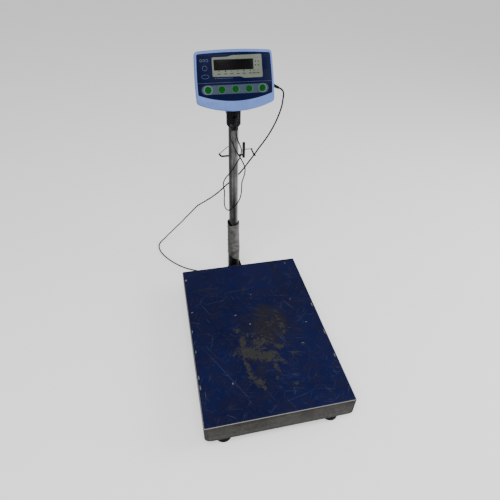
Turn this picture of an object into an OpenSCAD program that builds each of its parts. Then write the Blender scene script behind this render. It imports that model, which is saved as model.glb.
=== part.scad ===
/* [Platform] */
// Width of the weighing platform, left to right
platform_w = 424; // [420:1:440]
// Length of the weighing platform, front to back
platform_l = 606; // [600:1:620]
// Height of the pan's top above the floor
pan_top = 105; // [104:1:108]
// Depth of the pan's skirt
skirt_h = 70; // [60:1:72]
// Thickness of the pan's sheet steel
pan_sheet = 1.5; // [1:0.1:2]
// Radius of the pan's upright corners
pan_corner_r = 4; // [3:0.5:8]
// Rounding of the skirt's lower corners
skirt_round = 14; // [8:1:18]
// Thickness of the coating on the deck
film_t = 0.3; // [0.2:0.1:0.5]
// Bare border round the coating
film_border = 2; // [1:0.5:4]

/* [Load frame] */
// Height of the base frame's underside above the floor
frame_z = 32; // [31:1:33]
// Side of the square tube in the base frame
frame_tube = 30; // [28:1:32]
// Wall of the frame tubes
tube_wall = 2.5; // [2:0.5:3]
// Half the distance between the two side rails
rail_x = 157; // [150:1:160]
// Half the distance between the two cross rails
rail_y = 270; // [265:1:272]
// Height of the upper frame's tube
spider_h = 20; // [18:1:20]
// Half the distance between the upper frame's cross arms
arm_y = 200; // [180:5:210]
// Half the distance between the upper frame's long arms
long_arm_x = 60; // [55:1:70]
// Length of the load cell
cell_l = 150; // [145:1:155]
// Width of the load cell
cell_w = 40; // [38:1:42]
// Thickness of the rubber bumpers under the pan
bumper_h = 3.5; // [3:0.5:4]

/* [Feet] */
// Distance of a foot's centre from the platform's middle line
foot_x = 157; // [150:1:160]
// Distance of a foot's centre from the platform's middle, front to back
foot_y = 272; // [266:1:272]
// Diameter of a foot's pad
foot_d = 48; // [44:1:52]
// Height of a foot's pad
foot_h = 12; // [10:1:12]
// Thread diameter of the foot studs
stud_d = 10; // [10:1:10]

/* [Column] */
// Sideways place of the column
column_x = -8; // [-10:1:-6]
// Place of the column behind the origin
column_y = 312; // [308:1:316]
// Outer diameter of the column tube
column_d = 32; // [32:1:32]
// Top of the column tube
column_top = 641; // [636:1:646]
// Top of the socket that holds the column
socket_top = 112; // [100:1:116]
// Bottom of the loose sleeve round the column
sleeve_bottom = 78; // [74:1:84]
// Top of the loose sleeve
sleeve_top = 258; // [240:1:264]

/* [Head] */
// Lower edge of the head's collar
collar_bottom = 622; // [620:1:624]
// Upper edge of the head's collar
collar_top = 669; // [667:1:669]
// Radius of the head's collar
collar_r = 19.5; // [19:0.5:20]
// Height of the tilt axis
pivot_z = 688; // [686:1:690]
// Place of the tilt axis behind the column's axis
pivot_back = 14; // [13:1:15]

/* [Indicator] */
// Lean of the indicator's face from upright, in degrees
lean = 22; // [18:1:24]
// Half of the indicator's widest width
face_half_w = 113; // [110:1:116]
// Top of the face above its reference line
face_up = 93; // [90:1:95]
// Bottom of the face below its reference line
face_down = 69.5; // [68:0.5:71]
// Depth of the front shell
front_d = 16; // [15:1:17]
// Depth of the whole housing
housing_d = 50; // [49:1:51]
// Distance between neighbouring keys
key_pitch = 39; // [38:0.5:40]
// Radius of a key
key_r = 9; // [8:0.5:9.5]

/* [Cords] */
// Diameter of the power cord
power_d = 5; // [4.5:0.5:5.5]
// Diameter of the load cell lead
lead_d = 4; // [3.5:0.5:4]

/* [Hidden] */
$fn = 64;

platform_y = -60;
pan_half_w = platform_w / 2;
pan_half_l = platform_l / 2;
pan_under = pan_top - pan_sheet;
spider_top = pan_under - bumper_h;
spider_z = spider_top - spider_h;
spider_tube_w = 30;
spider_plate_t = 6;
spider_plate_z = spider_z - spider_plate_t;
spacer_t = 3;
shelf_t = 8;
cell_z = frame_z + shelf_t + spacer_t;
cell_h = spider_plate_z - spacer_t - cell_z;
cell_bolt_r = 3.95;
cell_bolt_y = [35, 60];
frame_top = frame_z + frame_tube;
tab_x = rail_x - frame_tube;
tab_t = 6;
stop_gap = 1.5;

stud_r = stud_d / 2 - 0.05;
stud_top = 58;
hex_h = 6;
nut_h = 8;

column_r = column_d / 2;
column_wall = 1.5;
bracket_t = 8;
bracket_w = 90;
bracket_back = 6;
bracket_round = 25;
socket_r = 21.5;
rear_rail_y = platform_y + rail_y;
lead_exit_z = 44;
hanger_back = column_r + 5;
hanger_z = 509;
brace_z = 542;
clip_back = 26;
clip_screw_z = [520, 531];

pivot = [0, pivot_back, pivot_z];
ear_in = 13;
ear_out = 21;
tilt_bolt_r = 3;

face_y = column_y - 32;
face_z = 752;
shell_wall = 2.5;
recess = 1.2;
overlay_t = 0.5;
edge_round = 3.5;
key_line = -10.3;
key_travel_room = 1.2;
window_x = [-56, 53];
window_z = [41, 65.7];
pivot_depth = (column_y + pivot_back - face_y) * cos(lean) - (pivot_z - face_z) * sin(lean);
pivot_up = (column_y + pivot_back - face_y) * sin(lean) + (pivot_z - face_z) * cos(lean);
screw_spots = [[-90, 72], [90, 72], [-92, -32], [92, -32]];
door_x = 48;
door_z = [36, 78];
door_t = 8;
gland_droop = 25;
gland_l = 27;
gland_out = 112;

coil_x = -85;
coil_y = 300;
coil_z = 1;
coil_in = 22;
coil_out = 32;
plug_x = -180;
plug_y = 264;
plug_h = 13.7;
pin_r = 2;
pin_l = 19;

// The power cord leaves the gland, hangs in an arc, goes through the hanger's eye, behind the
// column and down to the floor, and comes back along the floor to the coil.
power_route = [
    [130, 305, 729], [137, 305, 724], [142, 306, 717], [144, 308, 708], [144, 310, 695],
    [143, 313, 674], [138, 316, 650], [130, 319, 624], [119, 321, 598], [106, 323, 573], [93, 325, 552],
    [79, 327, 531], [65, 327, 510], [49, 332, 484], [32, 336, 457], [12, 338, 432],
    [-8, 338, 414], [-26, 339, 398], [-44, 346, 376], [-62, 358, 352], [-80, 378, 325],
    [-102, 405, 293], [-123, 432, 262], [-139, 453, 231], [-155, 475, 198], [-171, 494, 168],
    [-186, 512, 138], [-209, 535, 99], [-231, 556, 62], [-250, 571, 33], [-266, 575, 13],
    [-280, 569, 5], [-291, 550, 3], [-293, 530, 3], [-289, 504, 3], [-278, 476, 3],
    [-262, 449, 3], [-241, 421, 3], [-218, 396, 3], [-192, 374, 3], [-163, 357, 3],
    [-135, 344, 3], [-112, 337, 3], [-90, 335, 3]
];
power_split = 7;
tail_route = [
    [-90, 265, 8], [-98, 264, 8], [-108, 264, 7], [-118, 264, 7], [-128, 264, 7]
];
// The load cell lead leaves the housing, hangs in one slack loop in front of the column,
// crosses itself and goes back up into the head.
lead_route = [
    [-2, 276, 673], [-2, 273, 663], [-5, 275, 650], [-12, 279, 636], [-20, 283, 621],
    [-24, 286, 606], [-22, 288, 591], [-15, 288, 573], [-6, 288, 550], [7, 287, 527],
    [17, 286, 508], [24, 285, 490], [25, 285, 472], [21, 285, 452], [16, 286, 434],
    [15, 287, 411], [14, 288, 388], [9, 288, 367], [0, 288, 350], [-12, 289, 335],
    [-26, 291, 323], [-37, 293, 327], [-43, 292, 344], [-44, 291, 370], [-43, 289, 400],
    [-46, 287, 422], [-46, 286, 439], [-39, 284, 456], [-27, 283, 471], [-14, 282, 489],
    [-3, 282, 508], [6, 282, 524], [11, 283, 539], [12, 284, 552], [7, 285, 568],
    [0, 286, 586], [-4, 286, 604], [-4, 285, 621], [-5, 284, 636], [-6, 286, 646],
    [-7, 292, 652], [-8, 300, 654], [-8, 308, 651], [-8, 312, 643]
];
// The same lead runs down inside the column, out through the base and to the load cell.
inner_route = [
    [-8, 312, 640], [-8, 312, 520], [-8, 312, 400], [-8, 312, 280], [-8, 312, 160],
    [-8, 312, 70], [-8, 310, 56], [-8, 304, 47], [-8, 294, 44], [-8, 270, 43], [-8, 240, 44],
    [-8, 222, 46], [-8, 180, 46], [-8, 120, 44], [-8, 60, 47], [-8, 32, 54], [-8, 15, 57]
];

function unit(v) = v / norm(v);
function tangent(p, i) = unit(p[min(i + 1, len(p) - 1)] - p[max(i - 1, 0)]);
function across(v, t) = unit(v - (v * t) * t);
function carried(p, i, n) =
    let (m = across(n, tangent(p, i)))
    i == len(p) - 1 ? [m] : concat([m], carried(p, i + 1, m));
function part_of(p, first, last) = [for (i = [first : last]) p[i]];

module at_platform() { translate([0, platform_y, 0]) children(); }
module at_column() { translate([column_x, column_y, 0]) children(); }
module at_indicator() {
    translate([column_x, face_y, face_z]) rotate([-lean, 0, 0]) children();
}

// A box given by its lowest and highest corners
module block(low, high) {
    translate(low) cube(high - low);
}

// A flat outline drawn as width and height, made solid from one depth to another
module slab(from, to) {
    translate([0, to, 0]) rotate([90, 0, 0]) linear_extrude(to - from) children();
}

// A round bar from one point to another
module rod(a, b, r) {
    along = b - a;
    translate(a)
        rotate([0, acos(along[2] / norm(along)), atan2(along[1], along[0])])
            cylinder(r = r, h = norm(along));
}

module hex_head(across_flats, h) {
    cylinder(d = across_flats / cos(30), h = h, $fn = 6);
}

// A hexagon bolt whose shank goes up from the origin, with its head below
module hex_bolt(r, l, across_flats, head_h) {
    cylinder(r = r, h = l);
    translate([0, 0, -head_h]) hex_head(across_flats, head_h);
}

module corners(x, y) {
    for (sx = [-1, 1], sy = [-1, 1]) translate([sx * x, sy * y, 0]) children();
}

module rounded_rect(w, l, r) {
    square([w - 2 * r, l], center = true);
    square([w, l - 2 * r], center = true);
    for (sx = [-1, 1], sy = [-1, 1])
        translate([sx * (w / 2 - r), sy * (l / 2 - r)]) circle(r = r);
}

// A tube swept along a route, as one closed surface
module cord_tube(route, r, sides = 8) {
    last = len(route) - 1;
    normals = carried(route, 0, cross(tangent(route, 0), [0.31, 0.52, 0.79]));
    skin = [
        for (i = [0 : last])
            let (t = tangent(route, i), n = normals[i], b = cross(t, n))
                for (k = [0 : sides - 1])
                    route[i] + r * (cos(360 * k / sides) * n + sin(360 * k / sides) * b)
    ];
    walls = [
        for (i = [0 : last - 1], k = [0 : sides - 1], half = [0, 1])
            let (a = i * sides + k, b = i * sides + (k + 1) % sides)
                half == 0 ? [a, b + sides, b] : [a, a + sides, b + sides]
    ];
    start_cap = [for (k = [0 : sides - 1]) k];
    end_cap = [for (k = [sides - 1 : -1 : 0]) last * sides + k];
    polyhedron(points = skin, faces = concat([start_cap], walls, [end_cap]));
}

/* ---- pan ---- */

// What is cut off below a corner, so that both skirts end in a rounded corner
module corner_waste() {
    difference() {
        cube([skirt_round + 1, skirt_round + 1, skirt_round + 1]);
        translate([0, -1, skirt_round + 1]) rotate([-90, 0, 0])
            cylinder(r = skirt_round, h = skirt_round + 3);
        translate([-1, 0, skirt_round + 1]) rotate([0, 90, 0])
            cylinder(r = skirt_round, h = skirt_round + 3);
    }
}

module platform_pan() {
    color([0.58, 0.57, 0.54]) at_platform() difference() {
        translate([0, 0, pan_top - skirt_h]) linear_extrude(skirt_h)
            rounded_rect(platform_w, platform_l, pan_corner_r);
        translate([0, 0, pan_top - skirt_h - 1]) linear_extrude(skirt_h + 1 - pan_sheet)
            rounded_rect(platform_w - 2 * pan_sheet, platform_l - 2 * pan_sheet,
                         pan_corner_r - pan_sheet);
        for (sx = [0, 1], sy = [0, 1]) mirror([sx, 0, 0]) mirror([0, sy, 0])
            translate([pan_half_w - skirt_round, pan_half_l - skirt_round,
                       pan_top - skirt_h - 1])
                corner_waste();
        block([column_x - 30, pan_half_l - 5, pan_top - skirt_h - 1],
              [column_x + 30, pan_half_l + 1, pan_top - skirt_h + 17]);
    }
}

module deck_film() {
    color([0.06, 0.10, 0.32]) at_platform() translate([0, 0, pan_top])
        linear_extrude(film_t)
            rounded_rect(platform_w - 2 * film_border, platform_l - 2 * film_border,
                         pan_corner_r - 1);
}

/* ---- upper frame and load cell ---- */

// The upper frame's bars: grown by nothing for the outside, shrunk by the wall for the bore
module spider_bars(less) {
    arm_half = pan_half_w - pan_sheet - 3.5;
    long_half = pan_half_l - pan_sheet - 8.5;
    past = less > 0 ? 1 : 0;
    low = spider_z + less;
    high = spider_top - less;
    half = spider_tube_w / 2 - less;
    for (s = [-1, 1]) {
        block([-arm_half - past, s * arm_y - half, low], [arm_half + past, s * arm_y + half, high]);
        block([s * long_arm_x - half, -long_half - past, low],
              [s * long_arm_x + half, long_half + past, high]);
    }
}

module spider_frame() {
    color([0.16, 0.17, 0.18]) at_platform() difference() {
        union() {
            difference() {
                spider_bars(0);
                spider_bars(2);
            }
            block([-long_arm_x - 15, -cell_l / 2 - 5, spider_plate_z],
                  [long_arm_x + 15, -20, spider_z]);
        }
        for (y = cell_bolt_y)
            translate([0, -y, spider_plate_z - 1]) cylinder(r = 4.3, h = spider_plate_t + 2);
        corners(185, arm_y) translate([0, 0, spider_top - 3]) cylinder(r = 4.05, h = 4);
    }
}

module spider_bumpers() {
    color([0.07, 0.07, 0.07]) at_platform() corners(185, arm_y) {
        translate([0, 0, spider_top]) cylinder(r = 12, h = bumper_h);
        translate([0, 0, spider_top - 8]) cylinder(r = 4, h = 8.5);
    }
}

module load_cell() {
    color([0.72, 0.73, 0.75]) at_platform() difference() {
        block([-cell_w / 2, -cell_l / 2, cell_z], [cell_w / 2, cell_l / 2, cell_z + cell_h]);
        for (y = [-14, 14])
            translate([0, y, cell_z + cell_h / 2]) rotate([0, 90, 0])
                cylinder(r = 9.5, h = cell_w + 2, center = true);
        translate([0, 0, cell_z + cell_h / 2]) cube([cell_w + 2, 28, 5], center = true);
        for (y = cell_bolt_y) {
            translate([0, y, cell_z - 1]) cylinder(r = 4, h = 19);
            translate([0, -y, cell_z + cell_h - 18]) cylinder(r = 4, h = 19);
        }
        translate([column_x, cell_l / 2 + 1, 57]) rotate([90, 0, 0]) cylinder(r = 2.5, h = 8);
    }
}

module load_cell_spacers() {
    color([0.62, 0.63, 0.64]) at_platform() for (s = [-1, 1]) difference() {
        z = s > 0 ? frame_z + shelf_t : cell_z + cell_h;
        block([-cell_w / 2, s * 48 - 22, z], [cell_w / 2, s * 48 + 22, z + spacer_t]);
        for (y = cell_bolt_y)
            translate([0, s * y, z - 1]) cylinder(r = 4.3, h = spacer_t + 2);
    }
}

module load_cell_bolts() {
    color([0.75, 0.75, 0.77]) at_platform() for (y = cell_bolt_y) {
        translate([0, y, frame_z]) hex_bolt(cell_bolt_r, 26, 13, 5);
        translate([0, -y, spider_z]) rotate([180, 0, 0]) hex_bolt(cell_bolt_r, 24, 13, 5);
    }
}

/* ---- base frame ---- */

// The base frame's bars, outside or bore, as for the upper frame
module base_bars(less) {
    half = frame_tube / 2 - less;
    past = less > 0 ? 1 : 0;
    rail_half = rail_y + frame_tube / 2;
    low = frame_z + less;
    high = frame_top - less;
    for (s = [-1, 1]) {
        block([s * rail_x - half, -rail_half - past, low], [s * rail_x + half, rail_half + past, high]);
        block([-rail_x, s * rail_y - half, low], [rail_x, s * rail_y + half, high]);
    }
}

module base_frame() {
    color([0.13, 0.14, 0.15]) at_platform() difference() {
        union() {
            difference() {
                base_bars(0);
                base_bars(tube_wall);
            }
            block([-rail_x + frame_tube / 2, 18, frame_z],
                  [rail_x - frame_tube / 2, cell_l / 2 + 8, frame_z + shelf_t]);
            for (s = [-1, 1], y = [-arm_y, arm_y])
                block([min(s * tab_x, s * (tab_x + 15)), y - 15, frame_top - tab_t],
                      [max(s * tab_x, s * (tab_x + 15)), y + 15, frame_top]);
            corners(foot_x, foot_y) translate([0, 0, frame_z]) cylinder(r = 8, h = 15);
        }
        corners(foot_x, foot_y)
            translate([0, 0, frame_z - 1]) cylinder(r = stud_d / 2, h = frame_tube + 2);
        corners(tab_x + 7, arm_y)
            translate([0, 0, frame_top - tab_t - 1]) cylinder(r = 4, h = tab_t + 2);
        for (y = cell_bolt_y)
            translate([0, y, frame_z - 1]) cylinder(r = 4.3, h = shelf_t + 2);
        translate([column_x, rail_y, 46]) rotate([90, 0, 0])
            cylinder(r = 6, h = frame_tube + 2, center = true);
        for (s = [-1, 1]) {
            translate([column_x + s * 30, rail_y, frame_z - 1]) cylinder(r = 4, h = 6);
            translate([column_x + s * 30, rail_y + frame_tube / 2 + 1, frame_z + 18])
                rotate([90, 0, 0]) cylinder(r = 4, h = 6);
            translate([s * 60, -rail_y, frame_z - 1]) cylinder(r = 4, h = 6);
        }
    }
}

module frame_end_caps() {
    inner = frame_tube - 2 * tube_wall;
    color([0.06, 0.06, 0.06]) at_platform() for (s = [-1, 1], e = [0, 1])
        mirror([0, e, 0]) translate([s * rail_x, rail_y + frame_tube / 2, frame_z + frame_tube / 2]) {
            translate([0, 1.25, 0]) cube([frame_tube, 2.5, frame_tube], center = true);
            translate([0, -1.5, 0]) cube([inner - 0.4, 3, inner - 0.4], center = true);
        }
}

module overload_stops() {
    screw_top = spider_z - stop_gap;
    color([0.70, 0.70, 0.72]) at_platform() corners(tab_x + 7, arm_y) {
        translate([0, 0, frame_top - tab_t - 5])
            cylinder(r = 3.95, h = screw_top - frame_top + tab_t + 5);
        translate([0, 0, frame_top]) hex_head(13, 6.5);
    }
}

module foot_lock_nuts() {
    color([0.70, 0.70, 0.72]) at_platform() corners(foot_x, foot_y)
        translate([0, 0, frame_z - nut_h]) difference() {
            hex_head(17, nut_h);
            translate([0, 0, -1]) cylinder(r = stud_d / 2, h = nut_h + 2);
        }
}

module level_ring() {
    color([0.70, 0.71, 0.72]) at_platform() translate([0, -rail_y, frame_top]) difference() {
        cylinder(r = 13, h = 10);
        translate([0, 0, 2]) cylinder(r = 9, h = 9);
    }
}

module level_vial() {
    color([0.70, 0.85, 0.35]) at_platform() translate([0, -rail_y, frame_top + 2])
        cylinder(r = 8.9, h = 7.5);
}

/* ---- feet ---- */

function foot_place(i) = [i == 2 || i == 3 ? foot_x : -foot_x, i <= 2 ? -foot_y : foot_y, 0];

module foot_pad(i) {
    color([0.08, 0.08, 0.08]) at_platform() translate(foot_place(i)) difference() {
        union() {
            cylinder(r = foot_d / 2, h = foot_h - 4);
            translate([0, 0, foot_h - 4]) cylinder(r1 = foot_d / 2, r2 = foot_d / 2 - 9, h = 4);
        }
        translate([0, 0, 5]) cylinder(r = stud_d / 2, h = foot_h);
    }
}

module foot_stud(i) {
    color([0.72, 0.72, 0.74]) at_platform() translate(foot_place(i)) {
        translate([0, 0, 5.3]) cylinder(r = stud_r, h = stud_top - 5.3);
        translate([0, 0, foot_h + 0.4]) hex_head(17, hex_h);
    }
}

/* ---- column ---- */

// A three-cornered stiffener that stands on the bracket and leans on the socket
module gusset(reach, height) {
    translate([0, 3, 0]) rotate([90, 0, 0]) linear_extrude(6)
        polygon([[socket_r - 2, frame_z - 1], [reach, frame_z - 1], [socket_r - 2, height]]);
}

module column_bracket() {
    color([0.05, 0.05, 0.06]) difference() {
        union() {
            block([column_x - bracket_w / 2, rear_rail_y - 20, frame_z - bracket_t],
                  [column_x + bracket_w / 2, column_y + bracket_back, frame_z]);
            block([column_x - bracket_w / 2, rear_rail_y + frame_tube / 2, frame_z - 1],
                  [column_x + bracket_w / 2, rear_rail_y + frame_tube / 2 + 6, frame_z + 27]);
            at_column() {
                translate([0, 0, frame_z - bracket_t]) cylinder(r = bracket_round, h = bracket_t);
                translate([0, 0, frame_z - 1]) cylinder(r = socket_r, h = socket_top - frame_z + 1);
                gusset(35, 85);
            }
        }
        at_column() {
            translate([0, 0, frame_z]) cylinder(r = column_r + 0.05, h = socket_top);
            translate([0, 0, lead_exit_z]) rotate([90, 0, 0]) cylinder(r = 6, h = 40);
            translate([0, 0, 98]) rotate([-90, 0, 0]) cylinder(r = 4, h = 40);
        }
        translate([column_x, rear_rail_y + 28, 46]) rotate([90, 0, 0]) cylinder(r = 8, h = 20);
        for (s = [-1, 1]) {
            translate([column_x + s * 30, rear_rail_y, frame_z - bracket_t - 1])
                cylinder(r = 4.3, h = bracket_t + 2);
            translate([column_x + s * 30, rear_rail_y + frame_tube / 2 + 7, frame_z + 18])
                rotate([90, 0, 0]) cylinder(r = 4.3, h = 8);
        }
    }
}

module bracket_bolts() {
    color([0.72, 0.72, 0.74]) for (s = [-1, 1]) {
        translate([column_x + s * 30, rear_rail_y, frame_z - bracket_t])
            hex_bolt(3.95, bracket_t + 5, 13, 5);
        translate([column_x + s * 30, rear_rail_y + frame_tube / 2 + 6, frame_z + 18])
            rotate([90, 0, 0]) hex_bolt(3.95, 11, 13, 5);
    }
}

module column_tube() {
    color([0.60, 0.60, 0.58]) at_column() difference() {
        translate([0, 0, frame_z + 1]) cylinder(r = column_r, h = column_top - frame_z - 1);
        cylinder(r = column_r - column_wall, h = column_top + 1);
        translate([0, 0, lead_exit_z]) rotate([90, 0, 0]) cylinder(r = 6, h = 40);
        for (z = clip_screw_z)
            translate([0, 10, z]) rotate([-90, 0, 0]) cylinder(r = 2, h = 10);
    }
}

module column_set_screws() {
    color([0.72, 0.72, 0.74]) at_column() translate([0, column_r + 0.1, 98]) rotate([-90, 0, 0])
        cylinder(r = 3.95, h = 5.2);
}

module column_sleeve() {
    bottom_in = socket_r + 0.3;
    top_in = 20;
    color([0.50, 0.50, 0.48]) at_column() rotate_extrude() polygon([
        [bottom_in, sleeve_bottom], [bottom_in + 1.9, sleeve_bottom],
        [bottom_in + 1.7, socket_top + 8], [top_in + 2, sleeve_top],
        [top_in, sleeve_top], [top_in, socket_top + 10], [bottom_in, socket_top + 2]
    ]);
}

// The saddle behind the column that both bars of the hanger go through
module hanger_clip() {
    color([0.20, 0.20, 0.21]) at_column() difference() {
        block([-9, 10, 500], [9, clip_back, 549]);
        translate([0, 0, 490]) cylinder(r = column_r + 0.05, h = 70);
        translate([-10, hanger_back, hanger_z]) rotate([0, 90, 0]) cylinder(r = 3.05, h = 20);
        translate([-10, hanger_back, brace_z]) rotate([0, 90, 0]) cylinder(r = 1.35, h = 20);
        for (z = clip_screw_z)
            translate([0, 5, z]) rotate([-90, 0, 0]) cylinder(r = 2, h = 30);
    }
}

module hanger_screws() {
    color([0.72, 0.72, 0.74]) at_column() for (z = clip_screw_z)
        translate([0, 0, z]) rotate([-90, 0, 0]) {
            translate([0, 0, 12]) cylinder(r = 1.95, h = clip_back - 12);
            translate([0, 0, clip_back]) cylinder(r = 3.6, h = 2.2);
        }
}

module hanger_rod() {
    left_end = [-43, hanger_back, 518];
    hook_end = [73, hanger_back, 506];
    color([0.05, 0.05, 0.06]) at_column() {
        rod([-37, hanger_back, hanger_z], [37, hanger_back, hanger_z], 3);
        rod([-35, hanger_back, hanger_z - 1], left_end, 3);
        rod([-44, hanger_back, 517], [-13, hanger_back, brace_z + 0.6], 1.3);
        rod([-15.5, hanger_back, brace_z], [14, hanger_back, brace_z], 1.3);
        block([33.5, hanger_back - 2, 498], [42.5, hanger_back + 2, 553]);
        rod([40, hanger_back, 528], [68, hanger_back, 528], 1.5);
        rod([63, hanger_back, 529], hook_end, 2.6);
        translate([73, hanger_back - 6, 509]) rotate([5, 33, 0]) rotate_extrude()
            translate([5, 0]) circle(r = 1.4, $fn = 32);
    }
}

module base_grommet() {
    color([0.05, 0.05, 0.05]) at_platform() for (s = [-1, 1])
        translate([column_x, rail_y + s * frame_tube / 2, 46]) rotate([90, 0, 0]) difference() {
            union() {
                translate([0, 0, s > 0 ? 0 : -1.9]) cylinder(r = 5.9, h = 1.9);
                translate([0, 0, s > 0 ? -1.5 : 0]) cylinder(r = 7.8, h = 1.5);
            }
            cylinder(r = 3, h = 20, center = true);
        }
}

module cell_lead_inner() {
    color([0.10, 0.10, 0.11]) cord_tube(inner_route, lead_d / 2);
}

/* ---- head ---- */

module head_fork() {
    color([0.06, 0.06, 0.07]) at_column() difference() {
        union() {
            translate([0, 0, collar_bottom]) cylinder(r = collar_r, h = collar_top - collar_bottom);
            for (s = [0, 1]) mirror([s, 0, 0]) {
                block([ear_in, -8, collar_bottom + 3], [ear_out, 8, collar_top]);
                translate([ear_in, 0, 0]) rotate([90, 0, 90]) linear_extrude(ear_out - ear_in)
                    hull() {
                        translate([pivot_back, pivot_z]) circle(r = 12);
                        translate([0, collar_top - 14]) square([21, 13]);
                    }
            }
            intersection() {
                translate([0, 0, collar_bottom - 10]) cylinder(r = collar_r, h = 12);
                block([-11, -collar_r, collar_bottom - 10], [11, 0, collar_bottom + 2]);
            }
        }
        translate([0, 0, collar_bottom - 11])
            cylinder(r = column_r + 0.05, h = column_top - collar_bottom + 11.3);
        cylinder(r = 13.5, h = collar_top - 5);
        translate([0, 0, 653]) rotate([90, 0, 0]) cylinder(r = 5, h = 40);
        translate(pivot) rotate([0, 90, 0]) cylinder(r = tilt_bolt_r + 0.1, h = 60, center = true);
        rotate([0, 0, -119]) translate([0, 0, 629]) rotate([0, 90, 0]) cylinder(r = 2.5, h = 40);
    }
}

module head_screw() {
    color([0.80, 0.80, 0.80]) at_column() rotate([0, 0, -119]) translate([0, 0, 629])
        rotate([0, 90, 0]) {
            translate([0, 0, column_r + 0.3]) cylinder(r = 2.45, h = 4);
            translate([0, 0, collar_r + 0.1]) cylinder(r = 4, h = 2.4);
        }
}

module tilt_bolt() {
    color([0.72, 0.72, 0.74]) at_column() translate(pivot) rotate([0, 90, 0]) {
        cylinder(r = tilt_bolt_r, h = 2 * ear_out + 10, center = true);
        translate([0, 0, -ear_out - 5]) hex_head(10, 4);
        translate([0, 0, ear_out + 1]) hex_head(10, 6);
        for (s = [-1, 1]) translate([0, 0, s * (ear_out + 0.5)])
            cylinder(r = 6, h = 1, center = true);
    }
}

/* ---- indicator ---- */

// Outline of the face: four arcs with rounded corners, drawn in by an inset
module face_outline(inset) {
    top_r = 1400;
    bottom_r = 280;
    side_r = 1200;
    corner_r = 11;
    offset(delta = -inset) offset(r = corner_r, $fn = 40) offset(delta = -corner_r)
        intersection() {
            translate([0, face_up - top_r]) circle(r = top_r, $fn = 360);
            translate([0, bottom_r - face_down]) circle(r = bottom_r, $fn = 180);
            translate([side_r - face_half_w, -12]) circle(r = side_r, $fn = 360);
            translate([face_half_w - side_r, -12]) circle(r = side_r, $fn = 360);
        }
}

module overlay_outline(less) {
    top_r = 1400;
    bottom_r = 315;
    intersection() {
        face_outline(6.5 + less);
        translate([0, 85 - less - top_r]) circle(r = top_r, $fn = 360);
        translate([0, bottom_r - 41.5 + less]) circle(r = bottom_r, $fn = 180);
    }
}

module at_keys() {
    for (i = [-2 : 2]) translate([i * key_pitch, 0, key_line]) rotate([-90, 0, 0]) children();
}

module front_shell() {
    color([0.55, 0.62, 0.80]) at_indicator() difference() {
        union() {
            difference() {
                hull() {
                    slab(0, 0.1) face_outline(edge_round);
                    slab(edge_round, front_d) face_outline(0);
                }
                slab(recess + shell_wall, front_d + 1) face_outline(shell_wall);
            }
            for (p = screw_spots)
                translate([p[0], recess + 1, p[1]]) rotate([-90, 0, 0])
                    cylinder(r = 4.5, h = front_d - recess - 1);
        }
        slab(-1, recess) overlay_outline(-0.2);
        block([window_x[0], -1, window_z[0]], [window_x[1], 10, window_z[1]]);
        at_keys() cylinder(r = key_r + 0.4, h = 10);
        for (p = screw_spots)
            translate([p[0], recess + 4, p[1]]) rotate([-90, 0, 0]) cylinder(r = 1.6, h = 20);
    }
}

module rear_shell() {
    color([0.10, 0.10, 0.11]) at_indicator() difference() {
        union() {
            difference() {
                hull() {
                    slab(front_d, front_d + 0.1) face_outline(1.5);
                    slab(housing_d - 0.1, housing_d) face_outline(11);
                }
                hull() {
                    slab(front_d - 0.1, front_d) face_outline(1.5 + shell_wall);
                    slab(housing_d - shell_wall - 0.1, housing_d - shell_wall)
                        face_outline(11 + shell_wall);
                }
            }
            for (p = screw_spots)
                translate([p[0], front_d, p[1]]) rotate([-90, 0, 0])
                    cylinder(r = 4.5, h = housing_d - front_d - 1);
            block([-door_x, housing_d - 1, door_z[0]], [door_x, housing_d + door_t, door_z[1]]);
        }
        block([-door_x + shell_wall, housing_d - shell_wall - 1, door_z[0] + shell_wall],
              [door_x - shell_wall, housing_d + door_t - shell_wall, door_z[1] - shell_wall]);
        for (p = screw_spots) {
            translate([p[0], front_d - 1, p[1]]) rotate([-90, 0, 0]) cylinder(r = 1.6, h = 40);
            translate([p[0], housing_d - 3, p[1]]) rotate([-90, 0, 0]) cylinder(r = 3.3, h = 4);
        }
        for (sx = [-28, 28], z = [-54, -24])
            translate([sx, housing_d - 4, z]) rotate([-90, 0, 0]) cylinder(r = 2, h = 5);
        translate([95, 32, 0]) rotate([0, 90, 0]) cylinder(r = 5.2, h = 30);
        translate([6, 26, -80]) cylinder(r = 4.7, h = 30);
    }
}

module shell_screws() {
    color([0.72, 0.72, 0.74]) at_indicator() for (p = screw_spots)
        translate([p[0], 0, p[1]]) rotate([-90, 0, 0]) {
            translate([0, 0, recess + 6]) cylinder(r = 1.5, h = housing_d - recess - 8.8);
            translate([0, 0, housing_d - 2.9]) cylinder(r = 3, h = 2);
        }
}

module face_overlay() {
    color([0.09, 0.12, 0.36]) at_indicator() difference() {
        slab(recess - overlay_t, recess) overlay_outline(0);
        block([window_x[0], -1, window_z[0]], [window_x[1], 10, window_z[1]]);
        at_keys() translate([0, 0, -1]) cylinder(r = key_r + 0.4, h = 10);
    }
}

module display_window() {
    color([0.04, 0.03, 0.04]) at_indicator()
        block([window_x[0] + 0.2, recess - 0.3, window_z[0] + 0.2],
              [window_x[1] - 0.2, recess + shell_wall, window_z[1] - 0.2]);
}

module display_board() {
    color([0.08, 0.08, 0.08]) at_indicator() {
        block([-54, 4, 43], [51, 11, 64]);
        block([-66, 11, 36], [64, 12.6, 72]);
    }
}

module key(i) {
    color([0.03, 0.36, 0.08]) at_indicator()
        translate([(i - 3) * key_pitch, 0, key_line]) rotate([-90, 0, 0]) {
            translate([0, 0, -0.8]) cylinder(r = key_r, h = 5);
            translate([0, 0, 4.1]) cylinder(r = key_r + 1.5, h = 1);
        }
}

module key_mat() {
    mat_y = 5.1 + key_travel_room;
    color([0.25, 0.25, 0.26]) at_indicator()
        block([-93, mat_y, key_line - 12], [93, mat_y + 2, key_line + 12]);
}

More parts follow.
